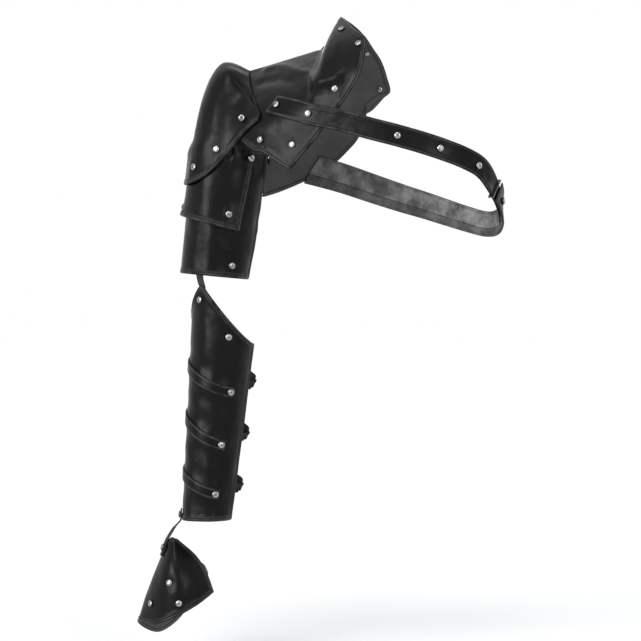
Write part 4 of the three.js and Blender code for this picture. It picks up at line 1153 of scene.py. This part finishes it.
setRivets("yoke_rivet", "yoke_and_cap", bodySpots(studPlaces["yoke"], front))
setRivets("back_rivet", "yoke_and_cap", bodySpots(studPlaces["back"], back))
setRivets("strap_rivet", "yoke_and_cap", bodySpots(studPlaces["strap"], front))
setRivets("strap_stud", "yoke_and_cap", [roundBody([turn], strap["lift"]) for turn in strap["studTurns"]])
rivets["strap_end_stud"] = ("yoke_and_cap", roundBody([strap["endStudTurn"]], 0))
setRivets("cap_rivet", "yoke_and_cap", [spotOn(capAt, *place) for place in studPlaces["cap"]])
for name, side in (("front", -1), ("back", 1)):
    point = np.array([[arm["pivotX"], arm["middleY"] + side * earReach[name], arm["pivotZ"]]])
    rivets[f"cap_pivot_{name}"] = ("yoke_and_cap", (point, unit(np.array([[arm["earSlope"], side, 0.0]]))))
    rivets[f"lame_pivot_{name}"] = ("upper_lame", armSpot([-side * arm["pivotTurn"]], arm["pivotHeight"]))
upperSpots = armSpots(studPlaces["upper"], arm["lameTopZ"], arm["lameHemZ"])
setRivets("upper_lame_rivet", "upper_lame", upperSpots)
lowerSpots = armSpots(studPlaces["lower"], arm["lowerTopZ"], arm["elbowZ"])
setRivets("lower_lame_rivet", "lower_lame", lowerSpots)
rivets["bracer_top_rivet"] = ("elbow_band", bracerSpot(*studPlaces["bracerTop"]))
rivets["bracer_edge_rivet"] = ("bracer", bracerSpot(*studPlaces["bracerEdge"]))
setRivets("bracer_strap_rivet", "bracer", [closurePlace(row, [row[2]], 0) for row in closure["rows"]])
wristStudZ = forearm["wristZ"] + studPlaces["wristShare"] * bands["wristReach"]
rivets["bracer_wrist_rivet"] = ("bracer", forearmSpot(wristTurn, wristStudZ))
rivets["hand_top_rivet"] = ("wrist_band", spotOn(handAt, bands["handColumn"], studPlaces["handTop"]))
setRivets("hand_rivet", "hand", [spotOn(handAt, *place) for place in studPlaces["hand"]])


def studsOf(*starts):
    # places of the rivets whose names start so
    return [spot[0][0] for name, (_, spot) in rivets.items() if name.startswith(starts)]


yokeLines = linesOn(yokeFrontAt, {
    "fold": ([[0.22, 0.06], [0.34, 0.08], [0.48, 0.2], [0.6, 0.34], [0.72, 0.37], [0.79, 0.35]],
             7 * mm, 2.4 * mm),
    "valley": ([[0.14, 0.17], [0.26, 0.19], [0.38, 0.27], [0.48, 0.4], [0.62, 0.47]], 9 * mm, -2.2 * mm),
    "dart": ([[0.28, 0.2], [0.29, 0.29], [0.33, 0.36]], 2.4 * mm, 0.7 * mm),
    "collarTurn": ([[0.92, 0.1], [0.89, 0.15], [0.82, 0.21]], 5 * mm, 0.9 * mm),
})
capLines = linesOn(capAt, {
    "dart": ([[0.71, 0.22], [0.76, 0.18], [0.83, 0.16], [0.9, 0.19]], 2 * mm, -1.1 * mm),
    "belly": ([[0.6, 0.35], [0.63, 0.58], [0.64, 0.82]], 15 * mm, 1.2 * mm),
})
upperLines = linesOn(upperLameAt, {
    "crease": ([[0.78, 0.17], [0.88, 0.3], [1, 0.26]], 2.6 * mm, -1.1 * mm),
    "dip": ([[0.71, 0.35], [0.74, 0.6], [0.77, 0.85]], 9 * mm, -0.45 * mm),
})
flats = {
    "upper": [([[0.8, 0.3], [0.815, 0.6], [0.8, 0.85]], 12 * mm, 1.6 * mm, 43)],
    "lower": [([[0.672, 0.5], [0.68, 0.95]], 9 * mm, 0.9 * mm, 41),
              ([[0.77, 0.55], [0.785, 0.9]], 11 * mm, 1.1 * mm, 42)],
    "bracer": [([[0.64, 0.12], [0.66, 0.5], [0.66, 0.97]], 10 * mm, 1.3 * mm, 44)],
    "unevenness": 75 * mm,
}
pull = {"rise": 0.55 * mm, "riseWidth": 7 * mm, "fall": 0.7 * mm, "fallPlace": 17 * mm, "fallWidth": 9 * mm}


def yokeRelief(points, s, t):
    # one soft fold that bends in an S across the chest, the valley under it, a dart, the collar's turn
    return yokeLines(points)


def capRelief(points, s, t):
    # gathers that fan out from the armhole and die away, a sewn dart, and a fuller middle
    gathers = np.cos(2 * np.pi * 9 * s + 3 * t) * hill(t, 0.3) * (1 - hill(t, 0.04))
    return 0.55 * mm * gathers + capLines(points)


def flattened(points, at, name):
    # a tube's wall flattened along lines: sunk by Gaussians of the distance to them, unevenly
    return sum(-depth * hill(gapTo(points, lineOn(at, line)), width)
               * (0.72 + 0.4 * ripple(points, flats["unevenness"], seed))
               for line, width, depth, seed in flats[name])


def lameRelief(points, s, t):
    # slanting creases where a lame bends with the arm, dying away at its edges
    turns = points[:, 2] / (9 * mm) + points[:, 0] / (16 * mm)
    return 0.4 * mm * np.sin(turns + 2.4 * ripple(points, 70 * mm, 21)) * np.sin(np.pi * t)


def lowerRelief(points, s, t):
    # creases, and the wall a little flat at its outer side and on the front
    return 0.7 * lameRelief(points, s, t) + flattened(points, lowerLameAt, "lower")


def upperRelief(points, s, t):
    # one deep crease under the pivot, and a long dip and a flat down the front
    return 0.5 * lameRelief(points, s, t) + upperLines(points) + flattened(points, upperLameAt, "upper")


def bracerRelief(points, s, t):
    # fuller right under each strap and drawn in above and under it, flat down the front
    full = np.zeros(len(points))
    for row in closure["rows"]:
        off = gapTo(points, closurePlace(row, np.linspace(-128, row[2], 60), 0.0)[0])
        full += pull["rise"] * hill(off, pull["riseWidth"])
        full -= pull["fall"] * hill(off - pull["fallPlace"], pull["fallWidth"])
    long = 0.3 * mm * np.sin(points[:, 0] / (5 * mm) + ripple(points, 90 * mm, 31))
    long = long + flattened(points, bracerAt, "bracer")
    return full * smooth((t - 0.1) / 0.1) + long * smooth((t - 0.04) / 0.1)


def handRelief(points, s, t):
    # two soft knuckle ridges that run down from the wrist
    return 0.6 * mm * np.cos(2 * np.pi * (s * 4 - 0.9)) * smooth(t / 0.3)


shell("yoke_front_leather", "yoke_and_cap", yokeFrontAt, (150 * mm, 140 * mm), hems="br", sewn="tl",
      relief=yokeRelief, studs=studsOf("yoke_rivet", "strap_rivet"), node="yoke_front_panel")
shell("yoke_back_leather", "yoke_and_cap", yokeBackAt, (150 * mm, 170 * mm), hems="br", facing=-1,
      sewn="tl", studs=studsOf("back_rivet"), node="yoke_back_panel", under="br")
shell("shoulder_cap_leather", "yoke_and_cap", capAt, (240 * mm, 130 * mm), hems="b", sewn="t",
      relief=capRelief, studs=studsOf("cap_"), node="shoulder_cap")
shell("chest_strap_front_leather", "yoke_and_cap", frontStrapAt, (480 * mm, strap["frontWidth"]),
      hide["strapWall"], studs=studsOf("strap_"), swell=strap["swell"], node="chest_strap_front",
      fold=strap["fold"], stitches=strap["stitchRows"])
shell("chest_strap_back_leather", "yoke_and_cap", backStrapAt, (400 * mm, strap["backWidth"]),
      hide["strapWall"], studs=studsOf("strap_end"), swell=strap["swell"], backing=strapLining,
      node="chest_strap_back", fold=strap["fold"], stitches=strap["stitchRows"], under="tb")
shell("upper_lame_leather", "upper_lame", upperLameAt, (260 * mm, 90 * mm), relief=upperRelief,
      studs=studsOf("upper_lame", "lame_pivot", "cap_pivot"), node="upper_arm_lame", threadRows="blr")
shell("lower_lame_leather", "lower_lame", lowerLameAt, (255 * mm, 150 * mm), relief=lowerRelief,
      studs=studsOf("lower_lame", "lame_pivot"), node="lower_arm_lame", threadRows="blr")
shell("bracer_leather", "bracer", bracerAt, (190 * mm, 270 * mm), relief=bracerRelief,
      studs=studsOf("bracer_"), node="bracer_shell")
shell("hand_guard_leather", "hand", handAt, (150 * mm, 95 * mm), relief=handRelief,
      studs=studsOf("hand_"), node="hand_guard", threadRows="br")
print("leather shells made")


def buckle(k, spot):
    # a bar of flattened round section bent into a rounded rectangle that tilts through the strap,
    # and a leather flap that fills it
    point, along, normal, across = spot
    corner, bar = closure["corner"], closure["barWidth"]
    halves = np.array([closure["barSpan"], (closure["holeWidth"] + bar) / 2])
    point = point - normal * (closure["wall"] / 2 + closure["barSpan"] ** 2 / (2 * closure["bow"]))
    tilt = math.radians(closure["tilt"])
    tilted = along * math.cos(tilt) + normal * math.sin(tilt)
    out = normal * math.cos(tilt) - along * math.sin(tilt)
    bends = np.radians(np.arange(4)[:, None] * 90 + np.linspace(0, 90, 7)).ravel()
    way = np.stack([np.cos(bends), np.sin(bends)], -1)
    quarters = np.repeat([[1, 1], [-1, 1], [-1, -1], [1, -1]], 7, axis=0)
    middle = quarters * (halves - corner) + way * corner
    turns = np.radians(np.arange(10) * 36)
    flat = middle[:, None] + way[:, None] * np.cos(turns)[None, :, None] * bar / 2
    height = np.broadcast_to(np.sin(turns) * closure["barDepth"] / 2, flat.shape[:2])
    places = point + flat[..., :1] * tilted + flat[..., 1:] * across + height[..., None] * out
    spots = np.arange(len(middle) * 10).reshape(-1, 10)
    ahead = np.roll(spots, -1, 0)
    quads = np.stack([np.roll(spots, -1, 1), np.roll(ahead, -1, 1), ahead, spots], -1).reshape(-1, 4)
    # no painted shade on the buckle frame
    paintedShade = {"paintedShade": np.zeros(spots.size)}
    ring = meshOf(f"bracer_buckle_{k}_frame", places.reshape(-1, 3), [quads], [darkMetal], 0, paintedShade)
    fitted(ring, "bracer", f"bracer_buckle_{k}")
    halfLong, halfWide = halves - closure["flapInset"]

    def flapAt(s, t):
        # plate in the frame's plane, narrowed to quarter circles at its four corners
        long = (2 * s - 1) * halfLong
        over = np.clip((np.abs(long) - halfLong + corner) / corner, 0, 0.98)
        spread = (2 * t - 1) * (halfWide - corner * (1 - np.sqrt(1 - over ** 2)))
        return point + long[:, None] * tilted + spread[:, None] * across - out * closure["flapDepth"]

    shell(f"bracer_buckle_{k}_flap", "bracer", flapAt, (2 * halfLong, 2 * halfWide), closure["flapWall"],
          facing=-1, swell=0.0, threadRows="", fold=0.0, stitches=closure["stitchRows"])


for k, row in enumerate(closure["rows"]):
    lift = closure["wall"] + closure["gap"]
    psi = np.linspace(row[2] + closure["tailTurn"], closure["leaveTurn"], 19)
    points, normals = closurePlace(row, psi, lift)
    ahead = closurePlace(row, [closure["leaveTurn"] - 1], lift)[0][0]
    along = unit(ahead - points[-1])
    normal = unit(normals[-1] - along * (along @ normals[-1]))
    leave = (points[-1], along, normal, np.cross(normal, along))
    radius = forearm["radius"] - forearm["taper"] * (forearm["topZ"] - points[-1][2])
    bridge = closure["bridge"] * radius
    ends = [bowed(leave, bridge * share, closure["bow"]) for share in (1 / 3, 2 / 3, 1)]
    path = pathOf((points, normals), (np.array([end[0] for end in ends]), np.array([end[2] for end in ends])))
    buckle(k + 1, bowed(leave, bridge - closure["tailRoom"], closure["bow"]))
    shell(f"bracer_strap_{k + 1}_leather", "bracer", bandAt(path, evenly(closure["width"])),
          (170 * mm, closure["width"]), closure["wall"], studs=studsOf(f"bracer_strap_rivet_{k + 1}"),
          swell=closure["swell"], node=f"bracer_strap_{k + 1}", threadRows="tb", fold=0.0,
          stitches=closure["stitchRows"])
print("bracer straps made")


# Elastic bands: each is a strip whose cords run slanting across it
rib = {
    "pitch": 1.5 * mm,
    "height": 0.3 * mm,
    "underHeight": 0.15 * mm,
    "edge": 0.9 * mm,
    "edgeDrop": 0.25 * mm,
    "stepAlong": 0.35 * mm,
    "stepAcross": 0.6 * mm,
}


def ribbed(name, bodyName, at, size, node, slant=0.7):
    # strip with raised cords: a sine of the distance along it plus a share of the distance across
    length, width = size
    s = np.linspace(0, 1, int(length / rib["stepAlong"]) + 1)
    t = np.linspace(0, 1, int(width / rib["stepAcross"]) + 1)
    gridS, gridT = (g.ravel() for g in np.meshgrid(s, t))
    base = at(gridS, gridT)
    normal = normalsOf(at, gridS, gridT)
    cords = 0.5 + 0.5 * np.sin(2 * np.pi * (gridS * length + slant * gridT * width) / rib["pitch"])
    side = smooth(np.minimum(gridT, 1 - gridT) * width / rib["edge"])
    lift = rib["height"] * cords * side - rib["edgeDrop"] * (1 - side)
    drop = hide["elasticWall"] - rib["underHeight"] * cords * side
    places = np.concatenate([base + normal * lift[:, None], base - normal * drop[:, None]])
    quads, loop = sheetFaces(len(t), len(s))
    faces = [quads, quads[:, ::-1] + len(base), bandFaces(loop, loop + len(base))]
    piece = meshOf(name, places, faces, [elastic], 0, {"rib": np.concatenate([cords, cords])})
    fitted(piece, bodyName, node)


ribbed("elbow_link_elastic", "elbow_band", bandAt(elbowPath, evenly(bands["elbowWidth"])),
       (50 * mm, bands["elbowWidth"]), "elbow_link_band")
ribbed("wrist_link_elastic", "wrist_band", bandAt(wristPath, evenly(bands["wristWidth"])),
       (60 * mm, bands["wristWidth"]), "wrist_link_band")
ribbed("upper_arm_elastic", "lower_lame", armElasticAt, (42 * mm, bands["armWidth"]), "arm_elastic_band", 0.0)
ribbed("palm_elastic", "hand", palmAt, (105 * mm, bands["palmWidth"] * hand["length"]), "palm_band", 0.0)
print("elastic bands made")


# Rivets: a dished dome on a shank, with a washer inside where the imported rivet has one


def lathe(profile, sides, point, normal):
    # profile of radii and heights turned about the normal; its first and last points are the poles
    radii, heights = np.array(profile).T
    turns = np.arange(sides) * 2 * np.pi / sides
    side = unit(np.cross(normal, [0.31, 0.52, 0.8]))
    up = np.cross(normal, side)
    ring = np.cos(turns)[:, None] * side + np.sin(turns)[:, None] * up
    places = [point + normal * heights[0]]
    for radius, height in zip(radii[1:-1], heights[1:-1]):
        places.extend(point + ring * radius + normal * height)
    places.append(point + normal * heights[-1])
    rows = 1 + np.arange((len(profile) - 2) * sides).reshape(-1, sides)
    foot = np.stack([np.zeros(sides, int), np.roll(rows[0], -1), rows[0]], -1)
    top = np.stack([np.full(sides, len(places) - 1), rows[-1], np.roll(rows[-1], -1)], -1)
    return np.array(places), bandFaces(rows[:-1], rows[1:]), np.concatenate([foot, top])


# Sizes of a rivet, with its dome and its washer's outline in shares of radius and height
stud = {
    "radius": 4.4 * mm,
    "height": 2.3 * mm,
    "shank": 1.5 * mm,
    "shankFoot": 1.2 * mm,
    "lip": 0.5 * mm,
    "lipShare": 0.94,
    "back": 3 * mm,
    "backHeight": 0.9 * mm,
    "backFlat": 0.3 * mm,
    "dome": [(1, 0), (0.985, 0.2), (0.93, 0.42), (0.82, 0.64), (0.66, 0.83), (0.48, 0.95), (0.3, 0.985),
             (0.14, 0.955), (0, 0.94)],
    "washer": [(0, 0.3), (0.3, 0.15), (0.55, 0), (0.85, 0.18), (1, 0.6)],
    "dent": 0.07 * mm,
    "dentSpan": 5.5 * mm,
    "sides": 28,
}
for name, (bodyName, (point, normal)) in rivets.items():
    point, normal = point[0], normal[0]
    packed = cadPoints(name) - point
    reach = packed @ normal
    across = np.linalg.norm(packed - reach[:, None] * normal, axis=1)
    foot = reach.min()
    radius, height, shank = stud["radius"], stud["height"], stud["shank"]
    seat = reach.max() - height
    profile = [(0, foot)]
    if across[reach < foot + 0.3 * mm].max() > 0.9 * stud["back"]:
        plate, rim = stud["back"], foot + stud["backHeight"] + stud["backFlat"]
        profile = [(plate * out, foot + stud["backHeight"] * up) for out, up in stud["washer"]]
        profile += [(plate, rim), (shank, rim)]
    profile += [(shank, foot + stud["shankFoot"]), (shank, seat - stud["lip"]),
                (radius * stud["lipShare"], seat - stud["lip"])]
    profile += [(radius * out, seat + height * up) for out, up in stud["dome"]]
    places, quads, fans = lathe(profile, stud["sides"], point, normal)
    level = (places - point) @ normal
    rise = level - seat
    seed = sum(ord(letter) for letter in name)
    dents = ripple(places, stud["dentSpan"], seed) * stud["dent"] * (rise > 0.1 * height)
    out = np.linalg.norm(places - point - level[:, None] * normal, axis=1) / radius
    # painted shade: 1 towards the rim, and 0.55 in the middle of the dome
    paintedShade = smooth((out - 0.7) / 0.26) + 0.55 * (1 - smooth((out - 0.22) / 0.3)) * (rise > 0)
    values = {"paintedShade": np.clip(paintedShade, 0, 1)}
    piece = meshOf(name + "_metal", places + normal * dents[:, None], [quads, fans], [nickel], 0, values)
    fitted(piece, bodyName, name)
print("rivets made")


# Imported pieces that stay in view
for name, node in nodes.items():
    for slotPlace in node.material_slots:
        isMetal = name.startswith(("bracer_prong", "strap_slide"))
        slotPlace.material = darkMetal if isMetal else leatherOuter


# Floor, light and camera
stageSizes = {
    "floorDrop": 30 * mm,
    "floorRadius": 30.0,
    "paper": 0.9,
    "paperGlow": 0.24,
    "room": (0.9, 0.92, 0.95, 1),
    "roomStrength": 0.42,
}
r, floorZ = stageSizes["floorRadius"], cadBox[0][2] - stageSizes["floorDrop"]
floorMesh = bpy.data.meshes.new("floor")
floorMesh.from_pydata([(x, y, floorZ) for x, y in ((-r, -r), (r, -r), (r, r), (-r, r))], [], [(0, 1, 2, 3)])
floor = setOut("floor", floorMesh)
paper = Finish("floor_paper")
tone = stageSizes["paper"]
paperColour = paper.blend(paper.noise(paper.place(), 40, 2), (tone,) * 3, (tone + 0.02,) * 3)
floorMesh.materials.append(paper.done(
    Base_Color=paperColour, Roughness=1.0, Specular_IOR_Level=0.0, Emission_Strength=stageSizes["paperGlow"],
    Emission_Color=paper.blend(paper.seen(), (0.0, 0.0, 0.0), (1.0, 1.0, 1.0))))

lightRig = {
    "key": {"turn": 47, "rise": 12, "strength": 2.3, "width": 29},
    "fill": {"turn": -27, "rise": 12, "strength": 0.5, "width": 17},
    "side": {"turn": -110, "rise": 16, "strength": 0.4, "width": 24},
    "rear": {"turn": 180, "rise": 4, "strength": 0.9, "width": 20},
    "overhead": {"turn": 16, "rise": 54, "strength": 0.9, "width": 22},
}
cameraPlace = {
    "target": (67.8 * mm, 18.2 * mm, -283.8 * mm),
    "distance": 2.5,
    "azimuth": 15,
    "halfWidth": 384.6 * mm,
}
azimuth = math.radians(cameraPlace["azimuth"])
toCamera = Vector((math.sin(azimuth), -math.cos(azimuth), 0))
toLeft = Vector((-math.cos(azimuth), -math.sin(azimuth), 0))
for name, lamp in lightRig.items():
    turn, rise = math.radians(lamp["turn"]), math.radians(lamp["rise"])
    level = toCamera * math.cos(turn) + toLeft * math.sin(turn)
    way = level * math.cos(rise) + Vector((0, 0, math.sin(rise)))
    light = bpy.data.lights.new(name, "SUN")
    light.energy = lamp["strength"]
    light.angle = math.radians(lamp["width"])
    setOut(name, light).rotation_euler = way.to_track_quat("Z", "Y").to_euler()

world = bpy.data.worlds.new("studio")
bpy.context.scene.world = world
studio = Finish("studio", world)
room = studio.add("ShaderNodeBackground", {}, {0: stageSizes["room"], 1: stageSizes["roomStrength"]})
white = studio.add("ShaderNodeBackground", {}, {0: (1, 1, 1, 1), 1: 1.0})
backdrop = studio.add("ShaderNodeMixShader", {}, {0: studio.seen(), 1: room, 2: white})
studio.close("ShaderNodeOutputWorld", backdrop)

cameraData = bpy.data.cameras.new("photo_camera")
cameraData.sensor_width = 36
cameraData.lens = 18 * cameraPlace["distance"] / cameraPlace["halfWidth"]
camera = setOut("photo_camera", cameraData)
camera.location = Vector(cameraPlace["target"]) + toCamera * cameraPlace["distance"]
camera.rotation_euler = (-toCamera).to_track_quat("-Z", "Y").to_euler()
bpy.context.scene.camera = camera
bpy.context.scene.view_settings.view_transform = "Standard"
print("stage, light and camera set")
